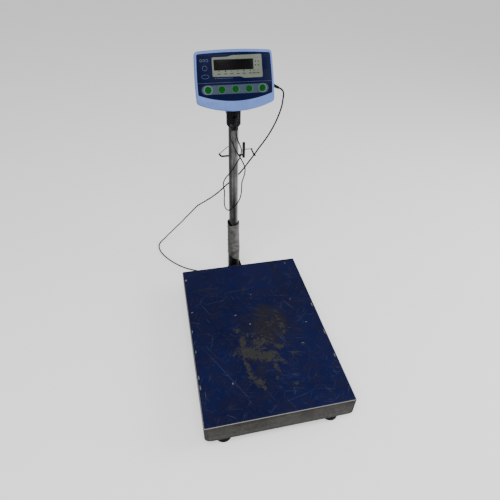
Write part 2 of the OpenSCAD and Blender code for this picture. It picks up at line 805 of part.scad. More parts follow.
module main_board() {
    color([0.05, 0.28, 0.14]) at_indicator() {
        block([-84, 18, -42], [84, 19.6, 32]);
        block([-70, 19.6, -30], [-40, 27, 0]);
        block([-20, 19.6, -35], [5, 22, -15]);
        for (x = [20, 38, 56])
            translate([x, 19.6, -20]) rotate([-90, 0, 0]) cylinder(r = 6, h = 16);
    }
}

module battery() {
    color([0.20, 0.20, 0.22]) at_indicator() block([-81, 21, 34], [14, 45, 76]);
}

module transformer() {
    color([0.35, 0.33, 0.30]) at_indicator() {
        block([26, 21, 38], [74, 45, 72]);
        block([34, 20, 42], [66, 46, 68]);
    }
}

module power_gland() {
    color([0.05, 0.05, 0.05]) at_indicator() translate([0, 32, 0]) {
        translate([103, 0, 0]) rotate([0, 90, 0]) cylinder(r = 5, h = 8);
        translate([109.5, 0, 0]) rotate([0, 90, 0]) cylinder(r = 7, h = 3);
        translate([gland_out, 0, 0]) rotate([0, 90 + gland_droop, 0])
            cylinder(r1 = 5.5, r2 = 3.6, h = gland_l);
    }
}

module lead_gland() {
    color([0.05, 0.05, 0.05]) at_indicator() translate([6, 26, -74]) {
        cylinder(r1 = 3.2, r2 = 4.5, h = 7);
        translate([0, 0, 7]) cylinder(r = 4.5, h = 8);
    }
}

module indicator_bracket() {
    color([0.08, 0.08, 0.09]) at_indicator() difference() {
        union() {
            block([-35, housing_d, -58], [35, housing_d + 3, -18]);
            translate([-12.5, 0, 0]) rotate([90, 0, 90]) linear_extrude(25) hull() {
                translate([pivot_depth, pivot_up]) circle(r = 11);
                translate([housing_d, -58]) square([3, 32]);
            }
        }
        translate([0, pivot_depth, pivot_up]) rotate([0, 90, 0])
            cylinder(r = tilt_bolt_r + 0.05, h = 60, center = true);
        for (sx = [-28, 28], z = [-54, -24])
            translate([sx, housing_d - 1, z]) rotate([-90, 0, 0]) cylinder(r = 2.1, h = 5);
    }
}

module bracket_screws() {
    color([0.72, 0.72, 0.74]) at_indicator() for (sx = [-28, 28], z = [-54, -24])
        translate([sx, 0, z]) rotate([-90, 0, 0]) {
            translate([0, 0, housing_d - 2.3]) cylinder(r = 1.9, h = 5.3);
            translate([0, 0, housing_d + 3]) cylinder(r = 3.5, h = 2.2);
        }
}

/* ---- cords ---- */

module power_cord_upper() {
    color([0.04, 0.04, 0.04]) cord_tube(part_of(power_route, 0, power_split), power_d / 2);
}

module power_cord_lower() {
    start = power_route[power_split];
    next = power_route[power_split + 1];
    lower = concat([start + 0.4 * unit(next - start)],
                   part_of(power_route, power_split + 1, len(power_route) - 1));
    color([0.04, 0.04, 0.04]) {
        cord_tube(lower, power_d / 2);
        cord_tube(tail_route, power_d / 2);
    }
}

module cord_coil() {
    color([0.04, 0.04, 0.04]) translate([coil_x, coil_y, coil_z]) rotate_extrude()
        translate([coil_in, 0]) square([coil_out - coil_in, 10]);
}

module coil_tie() {
    color([0.10, 0.10, 0.10]) translate([coil_x, coil_y, 0]) difference() {
        block([coil_in - 1.3, -3, 0], [coil_out + 1, 3, 12]);
        block([coil_in - 0.4, -4, 0.9], [coil_out + 0.1, 4, 11.1]);
    }
}

module mains_plug() {
    color([0.05, 0.05, 0.05]) translate([plug_x, plug_y, 0]) rotate([0, 0, -90]) {
        hull() {
            translate([0, 8, plug_h / 2]) cube([26, 16, plug_h - 3], center = true);
            translate([0, 8, plug_h / 2]) cube([23, 16, plug_h], center = true);
            translate([0, 28, plug_h / 2]) cube([16, 16, plug_h - 2], center = true);
        }
        translate([0, 36, 7]) rotate([-90, 0, 0]) cylinder(r1 = 4.6, r2 = 3.4, h = 15.8);
    }
}

module plug_pins() {
    color([0.80, 0.78, 0.72]) for (s = [-1, 1])
        translate([plug_x, plug_y + s * 9.3, 7]) rotate([0, -90, 0]) cylinder(r = pin_r, h = pin_l);
}

module cell_lead_loop() {
    color([0.08, 0.08, 0.08]) cord_tube(lead_route, lead_d / 2);
}

platform_pan();
deck_film();
spider_frame();
spider_bumpers();
load_cell();
load_cell_spacers();
load_cell_bolts();
base_frame();
frame_end_caps();
overload_stops();
foot_lock_nuts();
level_ring();
level_vial();
foot_pad(1);  // foot_pad_1
foot_pad(2);  // foot_pad_2
foot_pad(3);  // foot_pad_3
foot_pad(4);  // foot_pad_4
foot_stud(1);  // foot_stud_1
foot_stud(2);  // foot_stud_2
foot_stud(3);  // foot_stud_3
foot_stud(4);  // foot_stud_4
column_bracket();
bracket_bolts();
column_tube();
column_set_screws();
column_sleeve();
hanger_clip();
hanger_screws();
hanger_rod();
cell_lead_inner();
base_grommet();
head_fork();
head_screw();
tilt_bolt();
indicator_bracket();
bracket_screws();
rear_shell();
front_shell();
shell_screws();
face_overlay();
display_window();
display_board();
key_mat();
main_board();
battery();
transformer();
power_gland();
lead_gland();
key(1);  // key_1
key(2);  // key_2
key(3);  // key_3
key(4);  // key_4
key(5);  // key_5
power_cord_upper();
power_cord_lower();
cord_coil();
coil_tie();
mains_plug();
plug_pins();
cell_lead_loop();
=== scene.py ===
"""Looks of the platform scale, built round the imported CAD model. Metres, in the row frame."""
import math

import bmesh
import bpy
from mathutils import Matrix, Vector, geometry, noise


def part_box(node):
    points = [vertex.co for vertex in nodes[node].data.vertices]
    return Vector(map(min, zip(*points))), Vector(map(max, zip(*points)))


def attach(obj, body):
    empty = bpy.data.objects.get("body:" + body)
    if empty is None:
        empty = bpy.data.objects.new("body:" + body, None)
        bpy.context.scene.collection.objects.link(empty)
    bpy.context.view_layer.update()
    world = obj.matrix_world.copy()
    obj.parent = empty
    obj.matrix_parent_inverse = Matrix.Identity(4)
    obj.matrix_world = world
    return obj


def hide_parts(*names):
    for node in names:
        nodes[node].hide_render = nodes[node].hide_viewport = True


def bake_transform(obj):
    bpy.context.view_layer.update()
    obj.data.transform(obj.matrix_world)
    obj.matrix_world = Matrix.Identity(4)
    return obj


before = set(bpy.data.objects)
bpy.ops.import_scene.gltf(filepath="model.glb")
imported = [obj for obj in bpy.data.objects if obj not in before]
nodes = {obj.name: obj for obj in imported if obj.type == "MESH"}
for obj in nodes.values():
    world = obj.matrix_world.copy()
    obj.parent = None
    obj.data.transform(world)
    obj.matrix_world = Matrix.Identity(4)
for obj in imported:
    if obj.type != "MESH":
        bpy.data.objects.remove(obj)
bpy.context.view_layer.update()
MM = 0.001
TINY = 1e-6


# ---------------------------------------------------------------- camera
def make_camera():
    """Placed by a fit to the deck's corners and the upright column."""
    yaw, pitch, roll = (math.radians(a) for a in (13.52, 39.79, 1.864))
    forward = Vector((math.sin(yaw) * math.cos(pitch), math.cos(yaw) * math.cos(pitch), -math.sin(pitch)))
    level = Vector((math.cos(yaw), -math.sin(yaw), 0))
    above = level.cross(forward)
    right = math.cos(roll) * level + math.sin(roll) * above
    up = math.cos(roll) * above - math.sin(roll) * level
    data = bpy.data.cameras.new("camera")
    data.sensor_width = 36
    data.lens = 29.61
    data.clip_start, data.clip_end = 0.05, 50
    camera = bpy.data.objects.new("camera", data)
    bpy.context.scene.collection.objects.link(camera)
    turn = Matrix((right, up, -forward)).transposed().to_4x4()
    camera.matrix_world = Matrix.Translation((-0.2307, -0.885, 1.1371)) @ turn
    bpy.context.scene.camera = camera


make_camera()


# ---------------------------------------------------------------- mesh helpers
def new_object(name, verts, faces, sharp):
    """A mesh object with smooth faces, kept crisp where faces meet at more than the sharp angle."""
    mesh = bpy.data.meshes.new(name)
    mesh.from_pydata([tuple(v) for v in verts], [], faces)
    bm = bmesh.new()
    bm.from_mesh(mesh)
    bmesh.ops.remove_doubles(bm, verts=bm.verts, dist=TINY)
    bmesh.ops.recalc_face_normals(bm, faces=bm.faces)
    limit = math.radians(sharp)
    for face in bm.faces:
        face.smooth = True
    for edge in bm.edges:
        edge.smooth = len(edge.link_faces) != 2 or edge.calc_face_angle(0.0) < limit
    bm.to_mesh(mesh)
    bm.free()
    obj = bpy.data.objects.new(name, mesh)
    bpy.context.scene.collection.objects.link(obj)
    return obj


def turns(count):
    """Pairs of cos and sin at even steps round a circle."""
    for k in range(count):
        a = 2 * math.pi * k / count
        yield math.cos(a), math.sin(a)


def quarter(steps, first=1):
    """Pairs of 1 - sin and 1 - cos along a quarter turn, for rounded edges."""
    for k in range(first, steps + 1):
        a = math.pi / 2 * k / steps
        yield 1 - math.sin(a), 1 - math.cos(a)


class Build:
    """Collects the vertices and faces of one piece."""

    def __init__(self, place=None):
        self.verts, self.faces, self.place = [], [], place or Matrix.Identity(4)

    def add(self, points):
        first = len(self.verts)
        self.verts += [self.place @ Vector(p) for p in points]
        return list(range(first, first + len(points)))

    def loft(self, rings, start=False, end=False):
        """Joins closed rows of points, and caps the ends if asked."""
        loops = [self.add(r) for r in rings]
        for a, b in zip(loops, loops[1:]):
            for i in range(len(a)):
                j = (i + 1) % len(a)
                self.faces.append((a[i], a[j], b[j], b[i]))
        if start:
            self.faces.append(tuple(reversed(loops[0])))
        if end:
            self.faces.append(tuple(loops[-1]))

    def fill(self, outer, holes=()):
        """A flat face between closed rows of points, as triangles."""
        rows = [[Vector(p) for p in outer]] + [[Vector(p) for p in h] for h in holes]
        index = self.add([p for row in rows for p in row])
        for tri in geometry.tessellate_polygon(rows):
            self.faces.append(tuple(index[i] for i in tri))

    def lathe(self, profile, segments, at=Matrix.Identity(4)):
        """Turns rows of (radius, height) round the local Z of at."""
        self.loft([[at @ Vector((max(r, TINY) * c, max(r, TINY) * s, z)) for c, s in turns(segments)]
                   for r, z in profile])

    def sweep(self, path, radius, sides):
        """A round tube along a path."""
        last = len(path) - 1
        tangents = [(path[min(i + 1, last)] - path[max(i - 1, 0)]).normalized() for i in range(last + 1)]
        normal = tangents[0].orthogonal().normalized()
        rings = []
        for p, t in zip(path, tangents):
            normal = (normal - normal.dot(t) * t).normalized()
            side = t.cross(normal)
            rings.append([p + radius * (c * normal + s * side) for c, s in turns(sides)])
        self.loft(rings, True, True)

    def box(self, low, high, bevel):
        """A box with rounded edges."""
        (x0, y0, z0), (x1, y1, z1) = low, high

        def ring(inset, z):
            return rounded_rect(x0 + inset, y0 + inset, x1 - inset, y1 - inset, max(bevel - inset, TINY), z, 4)

        self.loft([ring(bevel * s, z0 + bevel * c) for s, c in quarter(3, 0)]
                  + [ring(bevel * c, z1 - bevel * s) for s, c in quarter(3, 0)], True, True)

    def done(self, name, sharp=35.0):
        return new_object(name, self.verts, self.faces, sharp)


def rounded_rect(x0, y0, x1, y1, r, z, steps=6):
    """Points round a rectangle with rounded corners, anticlockwise."""
    points = []
    for cx, cy, a0 in ((x1 - r, y1 - r, 0), (x0 + r, y1 - r, 90), (x0 + r, y0 + r, 180), (x1 - r, y0 + r, 270)):
        for k in range(steps + 1):
            a = math.radians(a0 + 90 * k / steps)
            points.append(Vector((cx + r * math.cos(a), cy + r * math.sin(a), z)))
    return points


def smooth_path(points, step):
    """A Catmull-Rom curve through the points, in even steps."""
    p = [Vector(q) for q in points]
    p = [2 * p[0] - p[1], *p, 2 * p[-1] - p[-2]]
    dense = []
    for i in range(1, len(p) - 2):
        a, b, c, d = p[i - 1:i + 3]
        for k in range(10):
            t = k / 10
            dense.append(0.5 * (2 * b + (c - a) * t + (2 * a - 5 * b + 4 * c - d) * t ** 2
                                + (3 * b - a - 3 * c + d) * t ** 3))
    dense.append(p[-2])
    return even(dense, step)


def path_length(path):
    return sum((b - a).length for a, b in zip(path, path[1:]))


def even(dense, step):
    """The same curve in even steps of about the given length."""
    total = path_length(dense)
    count = max(2, round(total / step))
    out, gone, want = [dense[0]], 0.0, total / count
    for a, b in zip(dense, dense[1:]):
        span = (b - a).length
        while len(out) < count and gone + span >= want * len(out) - 1e-12:
            out.append(a.lerp(b, (want * len(out) - gone) / span))
        gone += span
    out.append(dense[-1])
    return out


def mm(points):
    return [Vector(p) * MM for p in points]


# ---------------------------------------------------------------- cords
power_route = mm([
    (130, 305, 729), (137, 305, 724), (142, 306, 717), (144, 308, 708), (144, 310, 695),
    (143, 313, 674), (138, 316, 650), (130, 319, 624), (119, 321, 598), (106, 323, 573), (93, 325, 552),
    (79, 327, 531), (65, 327, 510), (49, 332, 484), (32, 336, 457), (12, 338, 432),
    (-8, 338, 414), (-26, 339, 398), (-44, 346, 376), (-62, 358, 352), (-80, 378, 325),
    (-102, 405, 293), (-123, 432, 262), (-139, 453, 231), (-155, 475, 198), (-171, 494, 168),
    (-186, 512, 138), (-209, 535, 99), (-231, 556, 62), (-250, 571, 33), (-266, 575, 13),
    (-280, 569, 5), (-291, 550, 3), (-293, 530, 3), (-289, 504, 3), (-278, 476, 3),
    (-262, 449, 3), (-241, 421, 3), (-218, 396, 3), (-192, 374, 3), (-163, 357, 3),
    (-135, 344, 3), (-112, 337, 3), (-90, 335, 3)])
lead_route = mm([
    (-2, 276, 673), (-2, 273, 663), (-5, 275, 650), (-12, 279, 636), (-20, 283, 621),
    (-24, 286, 606), (-22, 288, 591), (-15, 288, 573), (-6, 288, 550), (7, 287, 527),
    (17, 286, 508), (24, 285, 490), (25, 285, 472), (21, 285, 452), (16, 286, 434),
    (15, 287, 411), (14, 288, 388), (9, 288, 367), (0, 288, 350), (-12, 289, 335),
    (-26, 291, 323), (-37, 293, 327), (-43, 292, 344), (-44, 291, 370), (-43, 289, 400),
    (-46, 287, 422), (-46, 286, 439), (-39, 284, 456), (-27, 283, 471), (-14, 282, 489),
    (-3, 282, 508), (6, 282, 524), (11, 283, 539), (12, 284, 552), (7, 285, 568),
    (0, 286, 586), (-4, 286, 604), (-4, 285, 621), (-5, 284, 636), (-6, 286, 646),
    (-7, 292, 652), (-8, 300, 654), (-8, 308, 651), (-8, 312, 643)])
SPLIT = power_route[7]  # below the tilting indicator, where the cord becomes the lower piece
CORD_R, LEAD_R = 0.0025, 0.002
CORD_SIDES = 14


def middle(node):
    low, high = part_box(node)
    return (low + high) / 2


def coil_radius(done):
    """Radius in mm after so many turns: in to the outer ring, in to the inner one, and out again."""
    if done < 0.3:
        return 34.8 + (29.4 - 34.8) * (done / 0.3) ** 0.7
    for end, start, r0, r1 in ((1.0, 0, 29.4, 29.4), (1.25, 1.0, 29.4, 24.4), (3.0, 0, 24.4, 24.4),
                               (3.25, 3.0, 24.4, 29.4), (4.2, 0, 29.4, 29.4)):
        if done < end:
            return r0 + (r1 - r0) * (done - start) / (end - start)
    return 29.4 + (33.5 - 29.4) * (done - 4.2) / 0.3


def coil_points():
    """Four and a half turns in two layers, and the short way from the top layer to the plug."""
    coil, plug_y = middle("cord_coil"), middle("mains_plug").y
    points_a_turn, first_angle = 24, 92.0
    points = []
    for k in range(int(4.5 * points_a_turn) + 1):
        done = k / points_a_turn
        a = math.radians(first_angle - 360 * done)
        layer = min(1.0, max(0.0, (done - 2.0) / 0.35))
        layer = layer * layer * (3 - 2 * layer)
        r = coil_radius(done) * MM
        points.append(Vector((coil.x + r * math.cos(a), coil.y + r * math.sin(a), (3.0 + 5.1 * layer) * MM)))
    points += [Vector((coil.x - 0.014, plug_y + 0.0009, 0.0078)), Vector((coil.x - 0.026, plug_y, 0.0073)),
               Vector((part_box("mains_plug")[1].x + 0.0002, plug_y, 0.007))]
    return points


def make_cord(name, path, radius):
    b = Build()
    b.sweep(path, radius, CORD_SIDES)
    return b.done(name)


whole = smooth_path(power_route, 0.003)
split_at = min(range(len(whole)), key=lambda i: (whole[i] - SPLIT).length)
upper_path = whole[:split_at + 1]
lower_path = even(whole[split_at:-1] + smooth_path([whole[-1], *coil_points()[1:]], 0.003), 0.003)
lead_path = smooth_path(lead_route, 0.0025)

cord_upper = make_cord("power_cord_top", upper_path, CORD_R)
cord_lower = make_cord("power_cord_main", lower_path, CORD_R)
lead = make_cord("cell_lead_free", lead_path, LEAD_R)


def make_plug():
    """The plug's body and its ribbed strain relief, from sections of (x, width, height, corner) in mm."""
    low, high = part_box("mains_plug")
    centre_y, centre_z = (low.y + high.y) / 2, 0.00695
    sections = [(0.0, 22.4, 10.4, 4.8), (0.4, 24.0, 12.0, 5.2), (1.2, 25.2, 13.0, 5.6), (2.4, 25.6, 13.4, 5.8),
                (14.0, 25.4, 13.4, 5.8), (18.0, 23.6, 13.0, 6.0), (22.0, 20.2, 12.4, 6.0), (27.0, 16.6, 11.8, 5.8),
                (32.0, 14.2, 11.2, 5.5), (35.0, 12.6, 10.6, 5.2), (36.0, 9.4, 9.4, 4.69)]
    for k in range(5):
        x, r = 36.4 + 3.0 * k, 4.6 - 0.27 * k
        for past, less in ((0, 0.01), (1.6, 0.01), (1.9, 0.62), (2.7, 0.62)):
            wide = 2 * r if less < 0.1 else 2 * r - 1.2
            sections.append((x + past, wide, wide, r - less))
    sections.append(((high.x - low.x) / MM, 6.0, 6.0, 2.98))
    b = Build()
    b.loft([[Vector((low.x + x * MM, centre_y + p.x, centre_z + p.y))
             for p in rounded_rect(-w / 2 * MM, -h / 2 * MM, w / 2 * MM, h / 2 * MM, r * MM, 0, 8)]
            for x, w, h, r in sections], True, True)
    return b.done("mains_plug_body", 50)


def make_pins():
    low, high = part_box("plug_pins")
    b = Build()
    r = 0.002
    profile = [(0, 0), (r, 0), (r, 0.0165), (r * 0.95, 0.0176), (r * 0.78, 0.0185), (r * 0.45, 0.0189), (0, 0.019)]
    for y in (low.y + r, high.y - r):
        at = Matrix.Translation((high.x, y, (low.z + high.z) / 2)) @ Matrix.Rotation(math.radians(-90), 4, "Y")
        b.lathe(profile, 32, at)
    return b.done("plug_pin_pair")


def make_tie():
    """A flat strap round the coil's turns."""
    at, height = middle("coil_tie"), 0.006
    half_w, thick = 0.0026, 0.0007
    rows = []
    for y, grow in ((-half_w, 0.0), (-half_w, thick), (half_w, thick), (half_w, 0.0)):
        row = rounded_rect(-0.0052 - grow, -0.0051 - grow, 0.0052 + grow, 0.0053 + grow, 0.0026 + grow, 0)
        rows.append([Vector((at.x + p.x, at.y + y, height + p.y)) for p in row])
    rows.append(rows[0])
    b = Build()
    b.loft(rows)
    return b.done("coil_strap")


plug = make_plug()
pins = make_pins()
tie = make_tie()
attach(plug, "base")
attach(pins, "base")
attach(tie, "base")
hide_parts("mains_plug")
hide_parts("plug_pins")
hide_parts("coil_tie")
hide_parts("power_cord_upper")
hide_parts("power_cord_lower", "cord_coil")
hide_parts("cell_lead_loop")
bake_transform(cord_upper)
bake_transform(cord_lower)
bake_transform(lead)


# ---------------------------------------------------------------- materials
class Paint:
    """A node material under construction: a Principled shader with helpers for its texture nodes."""

    def __init__(self, name, rough=0.5, metal=0.0):
        self.material = bpy.data.materials.new(name)
        self.material.use_nodes = True
        self.tree = self.material.node_tree
        self.tree.nodes.clear()
        out = self.tree.nodes.new("ShaderNodeOutputMaterial")
        self.shader = self.tree.nodes.new("ShaderNodeBsdfPrincipled")
        self.tree.links.new(self.shader.outputs[0], out.inputs[0])
        self.set("Base Color", (0.5, 0.5, 0.5))
        self.set("Roughness", rough)
        self.set("Metallic", metal)
        self.coords = self.tree.nodes.new("ShaderNodeTexCoord").outputs["Object"]

    def set(self, socket, value):
        self.put(self.shader.inputs[socket], value)

    def put(self, target, value):
        """Links or sets a socket; a colour may be given without its alpha."""
        if isinstance(value, bpy.types.NodeSocket):
            self.tree.links.new(value, target)
        elif isinstance(value, tuple) and len(value) == 3 and target.type == "RGBA":
            target.default_value = (*value, 1)
        else:
            target.default_value = value

    def node(self, kind, inputs, output=0, **options):
        """Adds a node with these inputs and options, and gives one of its outputs."""
        n = self.tree.nodes.new("ShaderNode" + kind)
        for key, value in options.items():
            setattr(n, key, value)
        for key, value in inputs.items():
            self.put(n.inputs[key], value)
        return n.outputs[output]

    def math(self, kind, *inputs, clamp=False):
        return self.node("Math", dict(enumerate(inputs)), operation=kind, use_clamp=clamp)

    def add(self, a, b, clamp=False):
        return self.math("ADD", a, b, clamp=clamp)

    def times(self, a, b):
        return self.math("MULTIPLY", a, b)

    def spread(self, value, width):
        """A texture's 0..1 stretched to that width, with its middle at 0."""
        return self.math("MULTIPLY_ADD", value, width, -width / 2)

    def place(self, scale=(1, 1, 1), turn=(0, 0, 0), move=(0, 0, 0), kind="POINT", vector=None):
        rotation = tuple(math.radians(a) for a in turn)
        return self.node("Mapping", {"Vector": vector or self.coords, "Scale": scale, "Rotation": rotation,
                                     "Location": move}, vector_type=kind)

    def noise(self, scale, detail=4.0, rough=0.55, vector=None, distort=0.0):
        return self.node("TexNoise", {"Vector": vector or self.coords, "Scale": scale, "Detail": detail,
                                      "Roughness": rough, "Distortion": distort})

    def cells(self, scale, vector=None):
        return self.node("TexVoronoi", {"Vector": vector or self.coords, "Scale": scale}, "Distance")

    def step(self, value, low, high, to=(0.0, 1.0)):
        """A soft step from low to high."""
        return self.node("MapRange", {"Value": value, "From Min": low, "From Max": high, "To Min": to[0],
                                      "To Max": to[1]}, interpolation_type="SMOOTHSTEP")

    def mix(self, share, a, b):
        return self.node("Mix", {0: share, 6: a, 7: b}, 2, data_type="RGBA")

    def coordinate(self, axis):
        """One coordinate of the surface point: 0 is X, 1 is Y, 2 is Z."""
        return self.node("SeparateXYZ", {0: self.coords}, axis)

    def bump(self, value, distance, strength, soften=0.0):
        """Fine relief, and edges shaded round to the radius soften."""
        inputs = {"Height": value, "Distance": distance, "Strength": strength}
        if soften:
            inputs["Normal"] = self.node("Bevel", {"Radius": soften}, samples=4)
        self.set("Normal", self.node("Bump", inputs))

    def painted(self, name):
        """A share kept on the mesh's points."""
        return self.node("Attribute", {}, "Fac", attribute_name=name)

    def spots(self, rows):
        """The largest of 1 minus the distance in each spot on the deck, as in DECK_MARKS."""
        total = None
        for x, y, a, b, turn in rows:
            at = (x * MM, (y + DECK_Y) * MM, 0.0)
            vector = self.place((a * MM, b * MM, 10.0), (0, 0, turn), at, "TEXTURE")
            one = self.math("SUBTRACT", 1.0, self.node("VectorMath", {0: vector}, "Value", operation="LENGTH"))
            total = one if total is None else self.math("MAXIMUM", total, one)
        return total


DECK_Y = -60  # the deck's middle, mm
# marks on the deck: (x, y, half length, half width, turn, weight), in mm from the deck's middle and degrees;
# the weight is 1 where it's left out
DECK_MARKS = {
    "dirt": [(30, -10, 110, 120, 10), (-20, -150, 95, 95, 0, 0.55), (70, 20, 60, 75, 20), (40, 55, 75, 55, 0)],
    "worn": [
        (-46, -90, 44, 29, -8, 1.15), (-2, -112, 46, 21, -12, 1.15), (34, -134, 32, 10, -22, 1.0),
        (-57, -50, 13, 38, -4, 0.95), (-68, -3, 13, 21, 25, 0.85), (-38, -26, 9, 18, -10, 0.85),
        (-25, -34, 8, 14, 0, 0.75), (6, -60, 13, 28, -10, 0.8), (-8, -70, 24, 9, 10, 0.85),
        (48, -86, 28, 17, -10, 0.8), (84, -118, 26, 6, 0, 0.8), (81, -128, 5, 18, 0, 0.7),
        (-62, -134, 11, 40, 8, 0.8), (-56, -176, 18, 28, 0, 0.85), (-42, -196, 24, 20, 0, 0.9),
        (22, -158, 12, 30, 14, 0.8), (14, -192, 7, 20, 0, 0.75), (73, 30, 13, 34, 24, 0.68),
        (78, -4, 22, 30, 20, 0.7), (80, -36, 18, 20, 0, 0.55), (40, 10, 50, 60, 0, 0.42),
        (-28, -217, 9, 13, 0, 0.8), (64, -222, 12, 7, 20, 0.85), (52, -150, 22, 6, -20, 0.7),
        (-84, -92, 20, 7, 5, 0.8), (-10, -66, 84, 98, 0, 0.45)],
    "chips": [
        (-207, -149, 5, 11, 0), (-206, -181, 4, 13, 0), (-203, 255, 6, 7, 0), (-114, -186, 4, 6, 20),
        (160, -11, 8, 3, 10), (-20, 16, 4, 5, 0), (-198, 99, 7, 3, 20), (10, 143, 6, 2.5, 0),
        (172, 281, 3, 8, 20), (125, -89, 7, 2.5, 0), (138, 96, 3, 5, 0), (-60, 60, 8, 3, 10),
        (-204, -60, 3, 9, 0), (-206, 20, 3, 12, 0), (204, 60, 3, 16, 0), (206, -60, 3, 20, 0),
        (205, -150, 3, 12, 0)],
}
LONG_SCRATCHES = [
    (-128, -148, 145, 0.5, -61.5), (-153, 103, 34, 0.6, -62), (-191, 52, 20, 0.6, -24), (-194, -206, 1, 13, 0),
    (185, -206, 0.6, 14, 14), (-21, -283, 18, 0.5, 40), (146, -256, 19, 0.5, -62), (-136, -281, 17, 0.6, -32),
    (94, -117, 36, 0.5, -15), (28, -70, 21, 0.5, -38), (-120, 130, 50, 0.45, 8), (-30, 170, 70, 0.4, 6),
    (110, 120, 40, 0.4, -12), (60, -260, 50, 0.4, 12), (-150, -30, 44, 0.4, 75), (150, 10, 36, 0.5, 40)]


def deck_paint():
    """Dark blue coating: dirt, bare worn metal, chips, scratches and dust."""
    p = Paint("deck_coating")
    big = p.noise(5.5, 3)
    mid = p.noise(28, 5, 0.6)
    fine = p.noise(160, 6, 0.65)
    grit = p.noise(700, 3, 0.6)
    navy = p.mix(p.step(big, 0.3, 0.7), (0.0018, 0.0034, 0.030), (0.0030, 0.0054, 0.046))
    navy = p.mix(p.step(mid, 0.42, 0.72, (0, 0.6)), navy, (0.0062, 0.0052, 0.020))
    navy = p.mix(p.step(p.noise(60, 6, 0.7, distort=0.4), 0.56, 0.76, (0, 0.45)), navy, (0.013, 0.014, 0.030))
    # brown dirt trodden in round the middle
    dirt = p.step(p.add(p.painted("dirt"), p.spread(mid, 0.9)), 0.10, 0.85, (0, 0.8))
    color = p.mix(dirt, navy, p.mix(fine, (0.006, 0.006, 0.010), (0.019, 0.017, 0.016)))
    # coating worn down to the gray metal
    ragged = p.add(p.spread(p.noise(56, 7, 0.74, distort=1.1), 3.4), p.spread(fine, 1.8))
    wear = p.add(p.painted("worn"), ragged)
    bare = p.step(wear, 0.40, 0.47)
    thin = p.step(wear, 0.05, 0.42, (0, 0.5))
    color = p.mix(thin, color, (0.019, 0.019, 0.021))
    # chips along the edges and single bright nicks
    chip = p.step(p.add(p.painted("chips"), p.spread(fine, 1.2)), 0.30, 0.42)
    # fine scratches: long streaks in a few directions, and single long ones
    scratches = None
    for turn, scale, cut in ((12, 9, 0.69), (-38, 11, 0.70), (63, 10, 0.70), (118, 12, 0.70), (35, 18, 0.70)):
        bent = p.place((1, 1, 1), (0, 0, turn), (turn * 0.013, turn * 0.007, 0))
        streak = p.noise(1.0, 3, 0.6, p.place((scale, 620, 1), vector=bent))
        gate = p.step(p.noise(17, 3, 0.6, p.place(move=(turn * 0.1, 0, 0))), 0.47, 0.62)
        one = p.times(p.step(streak, cut - 0.06, cut), gate)
        scratches = one if scratches is None else p.math("MAXIMUM", scratches, one)
    single = p.spots(LONG_SCRATCHES)
    line = p.step(p.add(single, p.math("MULTIPLY_ADD", fine, 0.9, -0.5)), 0.0, 0.35, (0, 0.8))
    marks = p.math("MAXIMUM", p.times(scratches, 0.8), p.times(line, 0.8))
    color = p.mix(marks, color, (0.075, 0.085, 0.12))
    dust = p.times(p.step(p.cells(150), 0.13, 0.06), p.step(p.noise(40, 4), 0.42, 0.58))
    color = p.mix(p.times(dust, 0.55), color, (0.10, 0.105, 0.12))
    color = p.mix(bare, color, p.mix(fine, (0.022, 0.022, 0.024), (0.056, 0.055, 0.053)))
    color = p.mix(p.times(chip, 0.85), color, (0.16, 0.155, 0.13))
    p.set("Base Color", color)
    p.set("Metallic", p.times(bare, 0.35))
    rough = p.add(p.step(mid, 0.3, 0.75, (0.34, 0.52)), p.times(dirt, 0.25), clamp=True)
    p.set("Roughness", p.add(rough, p.times(marks, 0.2), clamp=True))
    p.set("Specular IOR Level", 0.16)
    relief = p.add(p.add(p.times(bare, -0.35), p.times(marks, -0.3)), p.times(grit, 0.12))
    p.bump(p.add(relief, p.times(p.noise(3.2, 1), 2.5)), 0.0004, 0.6)
    return p.material


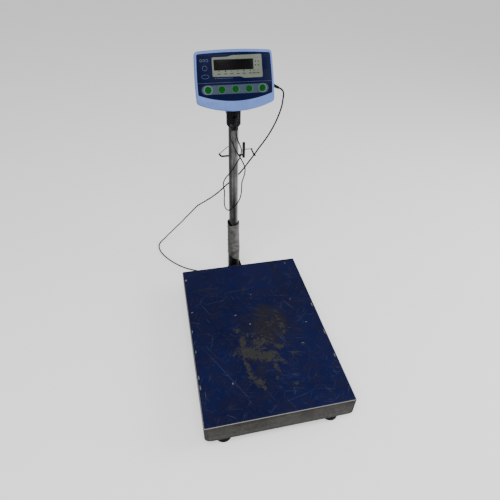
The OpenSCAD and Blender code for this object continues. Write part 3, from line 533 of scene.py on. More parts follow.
def steel_paint(name, dark, light, rough, along, metal, blotch=9, grime=0.35, fleck=0.0, fold=None, shade=None):
    """Satin sheet or tube: fine brushed lines along one axis, blotches, grime, and paint flecks if asked.

    fold is the height of the folded edge that gets a painted highlight, and shade the box of a tube that gets
    painted shade on its left and a painted highlight on its right.
    """
    p = Paint(name)
    stretch = [260.0, 260.0, 260.0]
    stretch[along] = 3.0
    lines = p.noise(1.0, 5, 0.6, p.place(tuple(stretch)))
    cloud = p.noise(blotch, 6, 0.62, distort=0.3)
    fine = p.noise(150, 6, 0.7)
    color = p.mix(p.step(p.add(p.times(lines, 0.45), p.times(cloud, 0.55)), 0.34, 0.68), dark, light)
    dull = p.times(p.step(p.noise(blotch * 3.1, 7, 0.7, distort=0.8), 0.52, 0.74), grime)
    color = p.mix(dull, color, (0.016, 0.0145, 0.012))
    if fleck:
        color = p.mix(p.times(p.step(p.cells(95), 0.12, 0.05), fleck), color, (0.14, 0.15, 0.15))
        navy = p.times(p.step(p.cells(61, p.place(move=(3, 1, 2))), 0.09, 0.04), fleck)
        color = p.mix(navy, color, (0.012, 0.016, 0.05))
    if fold:
        # painted highlight along the fold at the top, and the skirt darker towards its lower edge
        color = p.mix(p.step(p.coordinate(2), fold - 0.0014, fold - 0.0006), color, (0.26, 0.255, 0.24))
        low_edge = p.step(p.coordinate(2), fold - 0.050, fold - 0.067, (0, 0.65))
        color = p.mix(low_edge, color, (0.010, 0.009, 0.008))
    if shade:
        # painted shade on the left, painted highlight on the right
        low, high = shade
        left = p.step(p.coordinate(0), low.x + 0.011, low.x + 0.003, (0, 0.75))
        color = p.mix(left, color, (0.006, 0.006, 0.008))
        right = p.step(p.coordinate(0), high.x - 0.008, high.x - 0.002, (0, 0.6))
        color = p.mix(right, color, (0.42, 0.42, 0.41))
    p.set("Base Color", color)
    p.set("Specular IOR Level", 0.10)
    p.set("Metallic", p.math("SUBTRACT", metal, p.times(dull, 0.6), clamp=True))
    rough = p.step(fine, 0.3, 0.7, (rough - 0.06, rough + 0.08))
    p.set("Roughness", p.add(rough, p.times(dull, 0.4), clamp=True))
    p.bump(p.add(lines, p.times(fine, 0.6)), 0.00006, 0.5, 0.0008)
    return p.material


def plain_paint(name, color, rough, spread=0.18, grain=420, soften=0.0005, metal=0.0, dust=0.0, worn=0.0,
                spec=0.5):
    """Moulded or painted surface: slight colour drift, fine grain, and dust and worn spots if asked."""
    p = Paint(name, metal=metal)
    cloud = p.noise(22, 5, 0.6)
    fine = p.noise(grain, 4, 0.6)
    low = tuple(c * (1 - spread) for c in color)
    high = tuple(min(1, c * (1 + spread)) for c in color)
    mixed = p.mix(p.step(cloud, 0.3, 0.7), low, high)
    if dust:
        mixed = p.mix(p.times(p.step(p.noise(75, 6, 0.7), 0.45, 0.75), dust), mixed, (0.24, 0.22, 0.19))
    if worn:
        bare = p.step(p.add(p.noise(60, 6, 0.7), p.times(fine, 0.15)), 0.66, 0.70)
        mixed = p.mix(p.times(bare, worn), mixed, (0.22, 0.21, 0.20))
    p.set("Base Color", mixed)
    p.set("Roughness", p.step(cloud, 0.25, 0.75, (rough - 0.06, min(1.0, rough + 0.08))))
    p.set("Specular IOR Level", spec)
    p.bump(p.add(fine, p.times(cloud, 0.4)), 0.00005, 0.6, soften)
    return p.material


def thread_paint():
    """Zinc-plated fasteners, with a thread's fine rings."""
    p = Paint("zinc_plate", metal=0.9)
    cloud = p.noise(60, 5, 0.6)
    p.set("Base Color", p.mix(p.step(cloud, 0.35, 0.7), (0.34, 0.33, 0.30), (0.52, 0.51, 0.49)))
    p.set("Roughness", p.step(cloud, 0.3, 0.7, (0.28, 0.48)))
    pitch = 0.0015
    ring = p.math("SINE", p.times(p.coordinate(2), 2 * math.pi / pitch), 0.0)
    p.bump(p.add(p.times(ring, 0.5), p.times(p.noise(500, 3), 0.3)), 0.00018, 0.6, 0.0004)
    return p.material


def cord_paint(name, color):
    p = Paint(name)
    fine = p.noise(900, 3, 0.6)
    cloud = p.noise(45, 5, 0.65)
    p.set("Base Color", p.mix(p.step(cloud, 0.35, 0.75), color, tuple(min(1, c * 1.9 + 0.004) for c in color)))
    p.set("Roughness", p.step(cloud, 0.3, 0.7, (0.42, 0.6)))
    p.set("Specular IOR Level", 0.2)
    p.bump(p.add(fine, cloud), 0.00006, 0.5)
    return p.material


def wrap_paint():
    """Gray stiff wrap: woven grain, painted highlight patches, stains, faint reddish specks, and painted shade on
    its left.
    """
    p = Paint("gray_wrap")
    cloud = p.noise(38, 6, 0.65, distort=0.5)
    fine = p.noise(340, 5, 0.7)
    color = p.mix(p.step(cloud, 0.32, 0.68), (0.068, 0.065, 0.061), (0.185, 0.178, 0.168))
    # painted highlight: pale patches on the wrap
    color = p.mix(p.step(p.noise(90, 6, 0.7), 0.60, 0.74, (0, 0.7)), color, (0.27, 0.268, 0.258))
    stain = p.step(p.noise(65, 6, 0.72, p.place(move=(2, 5, 1))), 0.60, 0.76, (0, 0.65))
    color = p.mix(stain, color, (0.020, 0.018, 0.017))
    color = p.mix(p.step(p.cells(150), 0.22, 0.08, (0, 0.45)), color, (0.17, 0.045, 0.035))
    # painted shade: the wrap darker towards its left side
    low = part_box("column_sleeve")[0]
    left = p.step(p.coordinate(0), low.x + 0.020, low.x + 0.002, (0, 0.8))
    color = p.mix(left, color, (0.018, 0.017, 0.016))
    p.set("Base Color", color)
    p.set("Roughness", p.step(cloud, 0.3, 0.7, (0.45, 0.75)))
    weave = p.times(p.math("SINE", p.times(p.coordinate(2), 5200), 0.0), 0.25)
    p.bump(p.add(p.add(fine, p.times(cloud, 1.6)), weave), 0.0004, 0.55)
    return p.material


def window_paint():
    p = Paint("dark_window")
    smear = p.noise(45, 6, 0.65, distort=0.6)
    p.set("Base Color", p.mix(smear, (0.0016, 0.0014, 0.0018), (0.0040, 0.0034, 0.0042)))
    p.set("Roughness", p.step(smear, 0.3, 0.7, (0.22, 0.36)))
    p.set("Specular IOR Level", 0.06)
    p.bump(smear, 0.00005, 0.3)
    return p.material


def glass_paint():
    p = Paint("vial_glass", rough=0.05)
    p.set("Base Color", p.mix(p.noise(120, 3), (0.50, 0.75, 0.10), (0.62, 0.82, 0.18)))
    p.set("Transmission Weight", 0.6)
    return p.material


def floor_paint():
    p = Paint("studio_floor", rough=0.9)
    p.set("Base Color", p.mix(p.noise(1.5, 3), (0.90, 0.90, 0.90), (0.93, 0.93, 0.93)))
    p.set("Specular IOR Level", 0.0)
    p.set("Emission Color", (1.0, 1.0, 1.0, 1.0))
    p.set("Emission Strength", 0.45)
    return p.material


M = {
    "deck": deck_paint(),
    "pan": steel_paint("pan_sheet", (0.0086, 0.0079, 0.0066), (0.041, 0.0390, 0.0335), 0.55, along=0, metal=0.2,
                       blotch=26, fleck=0.35, fold=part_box("platform_pan")[1].z),
    "column": steel_paint("column_sheet", (0.046, 0.045, 0.043), (0.175, 0.173, 0.167), 0.32, along=2, metal=0.9,
                          blotch=20, shade=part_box("column_tube")),
    "zinc": thread_paint(),
    "aluminium": steel_paint("cell_metal", (0.45, 0.45, 0.46), (0.62, 0.62, 0.63), 0.35, along=1, metal=0.95,
                             grime=0.15),
    "frame": plain_paint("frame_paint", (0.022, 0.024, 0.026), 0.5, worn=0.5, dust=0.25, soften=0.0012),
    "black_metal": plain_paint("black_powder_paint", (0.004, 0.004, 0.0045), 0.45, worn=0.12, dust=0.03,
                               soften=0.0008, spec=0.2),
    "black_plastic": plain_paint("black_moulding", (0.0022, 0.0023, 0.0032), 0.42, grain=650, soften=0.0007,
                                 spec=0.08),
    "rubber": plain_paint("black_rubber_skin", (0.004, 0.004, 0.0045), 0.72, grain=300, dust=0.05, soften=0.001,
                          spec=0.2),
    "cord": cord_paint("cord_jacket", (0.0022, 0.0022, 0.0026)),
    "lead": cord_paint("lead_jacket", (0.0030, 0.0030, 0.0034)),
    "wrap": wrap_paint(),
    "head": plain_paint("head_moulding", (0.0075, 0.0078, 0.0112), 0.5, grain=500, soften=0.0007, spec=0.05),
    "dull_screw": plain_paint("dull_screw_head", (0.030, 0.030, 0.030), 0.5, metal=0.5),
    "housing": plain_paint("housing_plastic", (0.112, 0.182, 0.462), 0.42, spread=0.06, grain=800, dust=0.12,
                           soften=0, spec=0.25),
    "rear": plain_paint("rear_plastic", (0.005, 0.0055, 0.009), 0.5, grain=700, dust=0.05, soften=0.0006,
                        spec=0.25),
    "overlay": plain_paint("overlay_print", (0.0012, 0.0030, 0.027), 0.36, spread=0.12, grain=900, soften=0,
                           spec=0.06),
    "panel": plain_paint("panel_print", (0.118, 0.134, 0.108), 0.4, spread=0.07, dust=0.12, soften=0, spec=0.2),
    "panel_ink": plain_paint("panel_ink", (0.006, 0.0065, 0.0065), 0.45, soften=0, spec=0.15),
    "pale_ink": plain_paint("pale_ink", (0.085, 0.105, 0.13), 0.4, soften=0, dust=0.1, spec=0.15),
    "faint_ink": plain_paint("faint_ink", (0.075, 0.095, 0.15), 0.4, soften=0, spec=0.15),
    "pill": plain_paint("pill_print", (0.032, 0.050, 0.074), 0.4, spread=0.08, dust=0.05, soften=0, spec=0.15),
    "key": plain_paint("key_rubber", (0.0004, 0.056, 0.0022), 0.5, spread=0.15, grain=600, soften=0.0004,
                       spec=0.06),
    "window": window_paint(),
    "digit": plain_paint("unlit_digit", (0.0050, 0.0036, 0.0042), 0.3, soften=0, spec=0.05),
    "board": plain_paint("board_lacquer", (0.012, 0.085, 0.03), 0.35, grain=300, soften=0.0003),
    "cell_pack": plain_paint("battery_case", (0.02, 0.02, 0.022), 0.45),
    "laminate": plain_paint("laminate_metal", (0.25, 0.24, 0.22), 0.4, metal=0.7),
    "vial": glass_paint(),
    "pin": plain_paint("plated_pin", (0.62, 0.58, 0.48), 0.25, metal=0.95, soften=0.0002),
}


def dress(obj, paint):
    obj.data.materials.clear()
    obj.data.materials.append(M[paint])
    return obj


CAD_PAINT = {
    "zinc": ["load_cell_bolts", "overload_stops", "foot_lock_nuts", "bracket_bolts", "column_set_screws",
             "tilt_bolt", "bracket_screws", "hanger_screws", "shell_screws", "load_cell_spacers"]
            + [f"foot_stud_{i}" for i in range(1, 5)],
    "aluminium": ["load_cell", "level_ring"],
    "frame": ["base_frame", "spider_frame"],
    "black_metal": ["column_bracket", "indicator_bracket", "hanger_clip", "hanger_rod"],
    "black_plastic": ["frame_end_caps", "coil_tie", "mains_plug"],
    "head": ["head_fork"],
    "dull_screw": ["head_screw"],
    "rubber": ["spider_bumpers", "base_grommet", "key_mat", "power_gland", "lead_gland"]
              + [f"foot_pad_{i}" for i in range(1, 5)],
    "column": ["column_tube"],
    "pan": ["platform_pan"],
    "deck": ["deck_film"],
    "wrap": ["column_sleeve"],
    "lead": ["cell_lead_inner", "cell_lead_loop"],
    "cord": ["power_cord_upper", "power_cord_lower", "cord_coil"],
    "housing": ["front_shell"],
    "rear": ["rear_shell"],
    "overlay": ["face_overlay"],
    "window": ["display_window"],
    "board": ["main_board"],
    "cell_pack": ["battery", "display_board"],
    "laminate": ["transformer"],
    "vial": ["level_vial"],
    "pin": ["plug_pins"],
    "key": [f"key_{i}" for i in range(1, 6)],
}
for paint, names in CAD_PAINT.items():
    for name in names:
        for spot in nodes[name].material_slots:
            spot.material = M[paint]
        if not nodes[name].material_slots:
            nodes[name].data.materials.append(M[paint])

for piece, paint, slot in ((cord_upper, "cord", "cord_black"), (cord_lower, "cord", "cord_black"),
                           (lead, "lead", "cord_black"), (plug, "black_plastic", "black_plastic"),
                           (pins, "pin", "pin_brass"), (tie, "black_plastic", "black_plastic")):
    dress(piece, paint)


# ---------------------------------------------------------------- pan and deck
FRONT_LEFT_RISE = 0.023  # this corner of the skirt is cut rounder than the others
FAR_FROM_MARKS = -9.0


def pan_low_edge(x, y, low, high, bottom, r):
    """Height of the skirt's lower edge: it rises in a round corner."""
    sx = min(x - low.x, high.x - x)
    sy = min(y - low.y, high.y - y)
    s = max(sx, sy)
    if x < (low.x + high.x) / 2 and y < (low.y + high.y) / 2:
        r = FRONT_LEFT_RISE
    return bottom + (r - math.sqrt(max(0.0, r * r - (r - s) ** 2)) if s < r else 0.0)


def make_pan():
    low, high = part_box("platform_pan")
    top, bottom, sheet, corner, fold, r = high.z, low.z, 0.0015, 0.004, 0.0026, 0.014

    def outline(inset, z):
        """A rounded rectangle whose long sides are cut finely near the corners and every 20 mm between."""
        rows = rounded_rect(low.x + inset, low.y + inset, high.x - inset, high.y - inset,
                            max(corner - inset, 0.0004), z, 8)
        dense = []
        for a, b in zip(rows, rows[1:] + rows[:1]):
            span = (b - a).length
            if span > 0.05:
                cuts = [0.0012 * k for k in range(14)] + [0.05 + 0.02 * k for k in range(int((span - 0.1) / 0.02))]
                cuts = [c for c in cuts if c < span / 2]
                cuts += [span - c for c in reversed(cuts[1:])]
                dense += [a.lerp(b, c / span) for c in cuts]
            else:
                dense.append(a)
        return dense

    rings = [outline(fold, top)] + [outline(fold * s, top - fold * c) for s, c in quarter(6)]
    skirt = outline(0, bottom)
    edge = [Vector((p.x, p.y, pan_low_edge(p.x, p.y, low, high, bottom, r))) for p in skirt]
    rings.append([Vector((q.x, q.y, min(top - fold - 0.001, q.z + 0.0006))) for q in edge])
    inner = [Vector((p.x, p.y, q.z)) for p, q in zip(outline(sheet, bottom), edge)]
    soft = [a.lerp(b, 0.3) for a, b in zip(edge, inner)]
    rings += [soft, inner, [Vector((p.x, p.y, top - sheet)) for p in inner]]
    b = Build()
    b.loft(rings)
    b.fill(rings[0])
    b.fill(rings[-1])
    return b.done("pan_shell", 40)


def make_deck():
    """The coating, with each group of marks as a share per vertex: 1 in a mark's middle, 0 on its rim."""
    low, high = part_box("deck_film")
    b = Build()
    z0, z1 = low.z + 0.00002, high.z
    rows = []
    for inset, z in ((0.0, z0), (0.00006, z0 + 0.00016), (0.00022, z1)):
        rows.append(rounded_rect(low.x + inset, low.y + inset, high.x - inset, high.y - inset, 0.003, z, 8))
    b.loft(rows)
    # a fine grid inside the border carries the marks
    centre, step, gap = (low + high) / 2, 0.003, 0.003
    wide, deep = high.x - low.x - 2 * gap, high.y - low.y - 2 * gap
    nx, ny = round(wide / step), round(deep / step)
    grid = [[Vector((low.x + gap + wide * i / nx, low.y + gap + deep * j / ny, z1)) for i in range(nx + 1)]
            for j in range(ny + 1)]
    index = [b.add(row) for row in grid]
    for j in range(ny):
        for i in range(nx):
            b.faces.append((index[j][i], index[j][i + 1], index[j + 1][i + 1], index[j + 1][i]))
    rim = grid[0] + [row[-1] for row in grid[1:]] + grid[-1][-2::-1] + [row[0] for row in grid[-2:0:-1]]
    b.fill(rows[-1], [rim])
    deck = b.done("deck_skin", 60)
    for name, marks in DECK_MARKS.items():
        share = deck.data.attributes.new(name, "FLOAT", "POINT")
        for i, vertex in enumerate(deck.data.vertices):
            x, y = (vertex.co.x - centre.x) / MM, (vertex.co.y - centre.y) / MM
            best = FAR_FROM_MARKS
            for mx, my, a, c, turn, *weight in marks:
                dx, dy = x - mx, y - my
                cos, sin = math.cos(math.radians(turn)), math.sin(math.radians(turn))
                away = math.hypot((dx * cos + dy * sin) / a, (dy * cos - dx * sin) / c)
                best = max(best, (weight or [1])[0] - away)
            share.data[i].value = best
    return deck


pan = dress(make_pan(), "pan")
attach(pan, "pan")
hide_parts("platform_pan")
deck = dress(make_deck(), "deck")
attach(deck, "pan")
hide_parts("deck_film")


# ---------------------------------------------------------------- indicator
FACE = (Matrix.Translation((-0.008, 0.280, 0.752)) @ Matrix.Rotation(math.radians(-22), 4, "X")
        @ Matrix.Scale(MM, 4))


def meet(c1, r1, c2, r2, near):
    """Where two circles cross, on the side nearest to a point."""
    d = (c2 - c1).length
    a = (r1 * r1 - r2 * r2 + d * d) / (2 * d)
    h = math.sqrt(r1 * r1 - a * a)
    axis = (c2 - c1) / d
    mid = c1 + a * axis
    side = Vector((-axis.y, axis.x))
    return min((mid + h * side, mid - h * side), key=lambda p: (p - near).length)


def arc_outline(top, top_r, bottom, bottom_r, half, side_r, side_z, corner):
    """A rule from an inset to points round a shape of four arcs with rounded corners, seen from the front."""
    ct, cb = Vector((0, top - top_r)), Vector((0, bottom_r - bottom))
    cr, cl = Vector((half - side_r, side_z)), Vector((side_r - half, side_z))
    rt, rb, rs = top_r - corner, bottom_r - corner, side_r - corner
    tr = meet(ct, rt, cr, rs, Vector((half, top)))
    tl = meet(ct, rt, cl, rs, Vector((-half, top)))
    bl = meet(cb, rb, cl, rs, Vector((-half, -bottom / 2)))
    br = meet(cb, rb, cr, rs, Vector((half, -bottom / 2)))
    spots = []

    def arc(centre, a, b, count):
        for k in range(count):
            p = a.lerp(b, k / count)
            n = (p - centre).normalized()
            spots.append((centre + n * (a - centre).length, n))

    def turn(p, c0, c1):
        a0, a1 = (math.atan2(*reversed((p - c)[:])) for c in (c0, c1))
        while a1 < a0:
            a1 += 2 * math.pi
        for k in range(8):
            a = a0 + (a1 - a0) * k / 8
            spots.append((p, Vector((math.cos(a), math.sin(a)))))

    arc(ct, tr, tl, 48)
    turn(tl, ct, cl)
    arc(cl, tl, bl, 24)
    turn(bl, cl, cb)
    arc(cb, bl, br, 56)
    turn(br, cb, cr)
    arc(cr, br, tr, 24)
    turn(tr, cr, ct)

    def rule(inset, depth):
        return [Vector((p.x + (corner - inset) * n.x, depth, p.y + (corner - inset) * n.y)) for p, n in spots]

    return rule


face_line = arc_outline(93, 1400, 69.5, 280, 113, 1200, -12, 11)
rear_line = arc_outline(93, 1400, 69.5, 280, 113, 1200, -12, 15)
overlay_line = arc_outline(85, 1400, 41.5, 315, 106.5, 1193.5, -12, 4)
KEYS = [(-78, -10.3), (-39, -10.3), (0, -10.3), (39, -10.3), (78, -10.3)]
WINDOW = (-56, 41, 53, 65.7)
KEY_HOLE = 9.4


def circle(x, z, r, depth, count=48):
    return [Vector((x + r * c, depth, z + r * s)) for c, s in turns(count)]


def oblong(x0, z0, x1, z1, r, depth, steps=6):
    return [Vector((p.x, depth, p.y)) for p in rounded_rect(x0, z0, x1, z1, r, 0, steps)]


def pushed(row, depth):
    return [Vector((p.x, depth, p.z)) for p in row]


def window_line(inset, r, depth):
    x0, z0, x1, z1 = WINDOW
    return oblong(x0 + inset, z0 + inset, x1 - inset, z1 - inset, r, depth)


def make_front():
    b = Build(FACE)
    rings = [face_line(4.0, 0)] + [face_line(4 * s, 4 * c) for s, c in quarter(8)]
    rings += [face_line(inset, y) for inset, y in ((0, 15.2), (0.35, 15.7), (0.9, 16.0), (2.5, 16.0), (2.7, 4.0))]
    b.loft(rings)
    lip = [overlay_line(inset, y) for inset, y in ((-0.7, 0), (-0.35, 0.18), (-0.2, 0.6), (-0.2, 1.2))]
    b.fill(rings[0], [lip[0]])
    b.loft(lip)
    holes = [circle(x, z, KEY_HOLE, 1.2) for x, z in KEYS] + [oblong(*WINDOW, 1.0, 1.2)]
    b.fill(lip[-1], holes)
    for hole in holes:
        b.loft([hole, pushed(hole, 3.7)])
    return b.done("housing_front", 28)


def make_rear():
    b = Build(FACE)
    rings = [rear_line(2.6, 15.6), rear_line(1.5, 16.05)]
    rings += [rear_line(1.5 + 9.5 * (y - 16) / 34, y) for y in (22, 28, 34, 40, 46)]
    rings += [rear_line(10.1 + 3.4 * c, 50 - 3.4 * s) for s, c in quarter(6)]
    b.loft(rings)
    holes = [circle(x, z, 3.3, 50, 28) for x, z in ((-90, 72), (90, 72), (-92, -32), (92, -32))]
    slots = [oblong(-45 + 9 * k, 6, -41 + 9 * k, 28, 1.9, 50) for k in range(11)]
    door = [oblong(inset - 48, 36 + inset, 48 - inset, 78 - inset, 2.0, y)
            for inset, y in ((0, 50), (0, 56.6), (0.5, 57.5), (1.5, 57.95))]
    b.fill(rings[-1], holes + slots + [door[0]])
    b.loft(door)
    b.fill(door[-1])
    for wells, floor in ((holes, 47.4), (slots, 48.6)):
        for well in wells:
            b.loft([well, pushed(well, floor)])
            b.fill(pushed(well, floor))
    return b.done("housing_rear", 28)


def make_overlay():
    b = Build(FACE)
    rim = [overlay_line(0.12, 0.7), overlay_line(0.0, 0.8), overlay_line(0.0, 1.19)]
    b.loft(rim)
    b.fill(rim[0], [circle(x, z, KEY_HOLE, 0.7) for x, z in KEYS] + [oblong(*WINDOW, 1.0, 0.7)])
    return b.done("overlay_sheet", 40)


# the pale panel round the window: its top steps up and its lower edge steps down towards the right
PANEL = [(-58.5, 23.6), (14.0, 22.3), (18.5, 21.6), (24.5, 18.9), (29.5, 18.2), (77.0, 18.6), (79.3, 19.4),
         (80.2, 21.6), (78.5, 75.4), (77.6, 77.3), (75.4, 78.0), (-3.0, 77.2), (-7.0, 76.6), (-16.0, 74.3),
         (-20.5, 73.6), (-58.5, 72.8), (-60.9, 71.9), (-61.7, 69.6), (-62.4, 26.6), (-61.4, 24.4)]
PRINT = 0.66  # depth of the printing, just proud of the overlay
LIFTED = PRINT - 0.03  # small marks that lie on the panel's print
WIDE_DOTS = (-25.5, 26.6)


def make_prints():
    """The overlay's flat colours, one piece for each; every row is an outline and the holes in it."""
    pieces = []

    def add(name, paint, rows):
        b = Build(FACE)
        for outer, holes in rows:
            b.fill(outer, holes)
        pieces.append(dress(b.done(name, 60), paint))

    def key_rim(x, z):
        return circle(x, z, 12.6 if abs(x) > 70 else 10.4, PRINT)

    def oval(a, c):
        return [Vector((-83 + a * cos, PRINT, 24.5 + c * sin)) for cos, sin in turns(40)]

    bezel = window_line(-1.6, 1.8, PRINT)
    add("print_panel", "panel", [([Vector((x, PRINT, z)) for x, z in PANEL], [bezel])])
    marks = [(bezel, [oblong(*WINDOW, 1.0, PRINT)])]
    for x in (-44, -25.5, -8, 9.6, 26.6, 44.7, 55.7, 66.8):
        marks.append((circle(x, 36.8, 1.9 if x in WIDE_DOTS else 1.4, LIFTED, 12), []))
        marks.append((oblong(x - 4.2, 29.0, x + 4.2, 30.9, 0.5, LIFTED, 2), []))
    marks += [(circle(x, z, 1.7, LIFTED, 12), []) for z in (60.0, 50.4) for x in (60.4, 68.7)]
    add("print_marks", "panel_ink", marks)
    add("print_band", "pill", [(oblong(-96, -22.3, 96, 1.6, 11.8, PRINT, 12), [key_rim(x, z) for x, z in KEYS])])
    add("print_pale", "pale_ink", [(key_rim(x, z), [circle(x, z, KEY_HOLE, PRINT)]) for x, z in KEYS])
    faint = [(circle(-83, 46, 6.6, PRINT, 40), [circle(-83, 46, 5.9, PRINT, 40)]),
             (oval(10.5, 5.4), [oval(9.8, 4.7)]), (oblong(-105.6, 7.5, 105.8, 8.1, 0.3, PRINT, 2), [])]
    faint += [(oblong(-57 + 5.2 * k, 18.6, -53.6 + 5.2 * k, 19.7, 0.4, PRINT, 2), []) for k in range(10)]
    for x in (-95, -86.5, -78):
        faint.append((oblong(x, 62.4, x + 6, 68.6, 1.4, PRINT, 4),
                      [oblong(x + 0.8, 63.2, x + 5.2, 67.8, 0.8, PRINT, 4)]))
    add("print_faint", "faint_ink", faint)
    return pieces


def make_window():
    b = Build(FACE)
    front = window_line(0.55, 0.8, 0.95)
    b.loft([window_line(0.25, 0.9, 3.6), window_line(0.25, 0.9, 1.15), front], start=True)
    b.fill(front)
    return b.done("window_pane", 40)


def make_digits():
    """Unlit seven-segment figures behind the window."""
    b = Build(FACE)
    y, h, w, t = 0.91, 14.5, 8.6, 0.75  # depth, height, width, and half a segment's thickness
    lx, lz = w / 2 - 1.2, h / 4 - 0.7
    flat = ((-lx, 0), (-lx + t, -t), (lx - t, -t), (lx, 0), (lx - t, t), (-lx + t, t))
    tall = ((0, -lz), (t, -lz + t), (t, lz - t), (0, lz), (-t, lz - t), (-t, -lz + t))
    segments = [(w / 2, h, flat), (w / 2, h / 2, flat), (w / 2, 0, flat)]
    segments += [(cx, cz, tall) for cx in (0, w) for cz in (h / 4, h * 3 / 4)]
    for k in range(6):
        x, z = -47 + 15.6 * k, 46.0
        for cx, cz, shape in segments:
            b.fill([Vector((x + cx + a, y, z + cz + c)) for a, c in shape])
        b.fill(circle(x + w + 2.6, z, 0.8, y, 12))
    return b.done("window_digits", 60)


def make_key(i):
    x, z = KEYS[i - 1]
    b = Build(FACE @ Matrix.Translation((x, 0, z)) @ Matrix.Rotation(math.radians(-90), 4, "X"))
    b.lathe([(0, -0.42), (3.5, -0.46), (6.2, -0.62), (7.4, -0.79), (8.1, -0.76), (8.6, -0.5), (8.9, -0.05),
             (9.0, 0.5), (9.0, 4.1), (10.3, 4.15), (10.3, 5.0), (0, 5.05)], 72)
    return b.done(f"key_cap_{i}", 50)


def make_gland():
    """The power cord's gland nut and its tapered, ribbed, drooping strain relief."""
    along = Matrix.Rotation(math.radians(90), 4, "Y")
    b = Build(FACE)
    b.lathe([(0, 0), (4.9, 0), (4.9, 6.4), (6.6, 6.5), (6.95, 6.9), (6.95, 9.0), (6.6, 9.4), (0, 9.45)],
            48, Matrix.Translation((103, 32, 0)) @ along)
    profile = [(0, 0.2), (5.3, 0.2), (5.45, 0.6)]
    for k in range(6):
        z, r = 1.4 + 4.0 * k, 5.4 - 0.26 * k
        profile += [(r, z), (r - 0.06, z + 2.2), (r - 0.85, z + 2.5), (r - 0.9, z + 3.7)]
    profile += [(3.6, 25.6), (3.5, 26.8), (0, 26.9)]
    b.lathe(profile, 48, Matrix.Translation((112, 32, 0)) @ Matrix.Rotation(math.radians(25), 4, "Y") @ along)
    return b.done("power_boot", 50)


front = dress(make_front(), "housing")
rear = dress(make_rear(), "rear")
overlay = dress(make_overlay(), "overlay")
window = dress(make_window(), "window")
digits = dress(make_digits(), "digit")
boot = dress(make_gland(), "rubber")
for piece, node in ((front, "front_shell"), (rear, "rear_shell"), (overlay, "face_overlay"),
                    (window, "display_window"), (boot, "power_gland")):
    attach(piece, "indicator")
    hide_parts(node)
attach(digits, "indicator")
for piece in make_prints():
    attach(piece, "indicator")
for i in range(1, 6):
    cap = dress(make_key(i), "key")
    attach(cap, f"key_{i}_cap")
    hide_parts(f"key_{i}")


# ---------------------------------------------------------------- sleeve on the column
def rim_height(a):
    """The wrap's uneven upper edge round the column: a dip at the front left."""
    rows = [(0, 256), (60, 256.5), (110, 257.5), (180, 257.6), (200, 255.5), (222, 249.5), (240, 249.5),
            (270, 253), (320, 255.5), (360, 256)]
    a = math.degrees(a) % 360
    (a0, z0), (a1, z1) = next(pair for pair in zip(rows, rows[1:]) if a <= pair[1][0])
    t = (a - a0) / (a1 - a0)
    return (z0 + (z1 - z0) * t * t * (3 - 2 * t)) * MM


def share(value, start, length):
    """How far a value has come along a stretch, from 0 to 1."""
    return max(0.0, min(1.0, (value - start) / length))


def make_sleeve():
    """A stiff wrap, lumpy and creased, leaning a little, cut slanting and torn at its lower end."""
    low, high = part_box("column_sleeve")
    centre = (low + high) / 2
    columns, rows, thick = 144, 110, 0.0006
    b = Build()
    outer, inner = [], []
    for j in range(rows + 1):
        out_row, in_row = [], []
        for i, (c, s) in enumerate(turns(columns)):
            a = 2 * math.pi * i / columns
            top = rim_height(a) + 0.0003 * noise.noise(Vector((c * 6, s * 6, 3)))
            torn = 0.005 * noise.noise(Vector((c * 3, s * 3, 9)))
            torn += 0.0022 * noise.noise(Vector((c * 11, s * 11, 1)))
            bottom = max(low.z + 0.0004, 0.097 - 0.019 * c + torn)
            z = bottom + (top - bottom) * j / rows
            lump = noise.noise(Vector((c * 1.3, s * 1.3, z * 30 + 4))) * 0.0006
            crease = noise.fractal(Vector((c * 1.1, s * 1.1, z * 62)), 0.7, 2.0, 4) * 0.0008
            fold = (1 - abs(noise.noise(Vector((c * 0.7, s * 0.7, z * 42 + 0.8 * c))))) ** 7 * -0.0010
            seam = -0.0007 * math.exp(-((a - 3.9) / 0.05) ** 2)
            bulge = 0.0007 * max(0.0, c) * math.exp(-((z - 0.150) / 0.03) ** 2)
            r = 0.0231 - 0.0014 * share(z, 0.125, 0.08) + lump + crease + fold + seam + bulge
            r = min(r, (high.x - low.x) / 2 - 0.0001)
            r = max(r, 0.0221 if z < 0.116 else 0.0192)  # clear of the bracket's collar, then of the column
            x = centre.x - 0.0012 * share(z, 0.14, 0.11)
            out_row.append(Vector((max(low.x + 0.0001, x + r * c), centre.y + r * s, z)))
            r -= thick
            in_row.append(Vector((max(low.x + 0.0005, x + r * c), centre.y + r * s, z)))
        outer.append(out_row)
        inner.append(in_row)
    b.loft(outer + list(reversed(inner)) + [outer[0]])
    return b.done("column_wrap", 70)


sleeve = dress(make_sleeve(), "wrap")
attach(sleeve, "base")
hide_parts("column_sleeve")


# ---------------------------------------------------------------- hanger
def make_hanger():
    low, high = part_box("column_tube")
    cx, cy = (low.x + high.x) / 2, (low.y + high.y) / 2
    b = Build(Matrix.Translation((cx, cy, 0)) @ Matrix.Scale(MM, 4))
    back = 21
    rods = [  # radius, sides, and the places (x, z) that the rod runs through behind the column
        (3.0, 16, [(37, 509), (20, 509), (0, 509), (-20, 509), (-33, 509), (-38, 511), (-42, 516), (-43.5, 519)]),
        (1.3, 12, [(-43, 518), (-36, 524), (-24, 534), (-15, 541), (-8, 542), (14, 542)]),
        (1.5, 12, [(40, 528), (48, 528), (58, 528), (68, 528)]),
        (2.6, 14, [(63, 529), (66, 522), (69.5, 514), (73, 506)])]
    for k, (radius, sides, places) in enumerate(rods):
        if k == 2:
            b.box((33.5, back - 2, 498), (42.5, back + 2, 553), 0.9)
        b.sweep(smooth_path([(x, back, z) for x, z in places], 1.5), radius, sides)
    eye = (Matrix.Translation((73, back - 6, 509)) @ Matrix.Rotation(math.radians(33), 4, "Y")
           @ Matrix.Rotation(math.radians(5), 4, "X"))
    loop = [eye @ Vector((5 * c, 5 * s, 0)) for c, s in turns(40)]
    b.sweep(loop + loop[:1], 1.4, 12)
    return b.done("hanger_wire", 50)


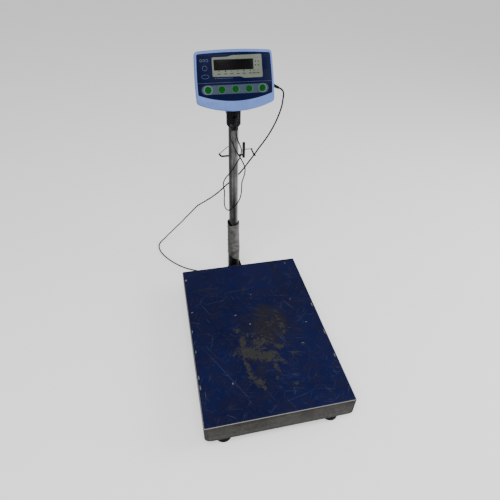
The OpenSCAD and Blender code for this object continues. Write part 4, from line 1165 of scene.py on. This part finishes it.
hanger = dress(make_hanger(), "black_metal")
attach(hanger, "base")
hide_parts("hanger_rod")


# ---------------------------------------------------------------- feet
def make_foot(i):
    low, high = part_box(f"foot_pad_{i}")
    r, h = (high.x - low.x) / 2, high.z
    b = Build(Matrix.Translation(((low.x + high.x) / 2, (low.y + high.y) / 2, 0)))
    profile = [(0.005, 0.005), (0.005, h), (0.009, h), (r - 0.0098, h - 0.0001), (r - 0.0085, h - 0.0006),
               (r - 0.0022, h - 0.0036), (r - 0.0006, h - 0.0045), (r, h - 0.0056), (r, 0.0042),
               (r - 0.0006, 0.0036), (r - 0.0006, 0.0030), (r, 0.0024), (r, 0.0010), (r - 0.0008, 0.0002),
               (r - 0.0016, 0.0), (r - 0.006, 0.0), (r - 0.0065, 0.0006), (r - 0.009, 0.0006), (r - 0.0095, 0.0),
               (0.0, 0.0)]
    b.lathe(profile, 80)
    return b.done(f"foot_rubber_{i}", 50)


for i in range(1, 5):
    foot = dress(make_foot(i), "rubber")
    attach(foot, f"foot_{i}_pad")
    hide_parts(f"foot_pad_{i}")


# ---------------------------------------------------------------- floor and light
def make_stage():
    mesh = bpy.data.meshes.new("studio_floor")
    mesh.from_pydata([(-8, -8, 0), (8, -8, 0), (8, 14, 0), (-8, 14, 0)], [], [(0, 1, 2, 3)])
    obj = bpy.data.objects.new("studio_floor", mesh)
    bpy.context.scene.collection.objects.link(obj)
    mesh.materials.append(floor_paint())


def area_light(name, at, to, size, power, color):
    data = bpy.data.lights.new(name, "AREA")
    data.shape, data.size, data.energy, data.color = "DISK", size, power, color
    obj = bpy.data.objects.new(name, data)
    obj.location = at
    obj.rotation_euler = (Vector(to) - Vector(at)).to_track_quat("-Z", "Y").to_euler()
    bpy.context.scene.collection.objects.link(obj)


def make_light():
    world = bpy.data.worlds.new("studio")
    bpy.context.scene.world = world
    world.use_nodes = True
    back = world.node_tree.nodes["Background"]
    back.inputs[0].default_value = (0.95, 0.97, 1.0, 1)
    back.inputs[1].default_value = 0.42
    area_light("soft_top", (-0.6, -1.6, 3.0), (0, 0, 0.2), 2.4, 95, (1.0, 0.99, 0.97))
    area_light("soft_side", (2.4, -0.5, 1.6), (0, 0, 0.4), 1.8, 46, (0.97, 0.98, 1.0))


make_stage()
make_light()
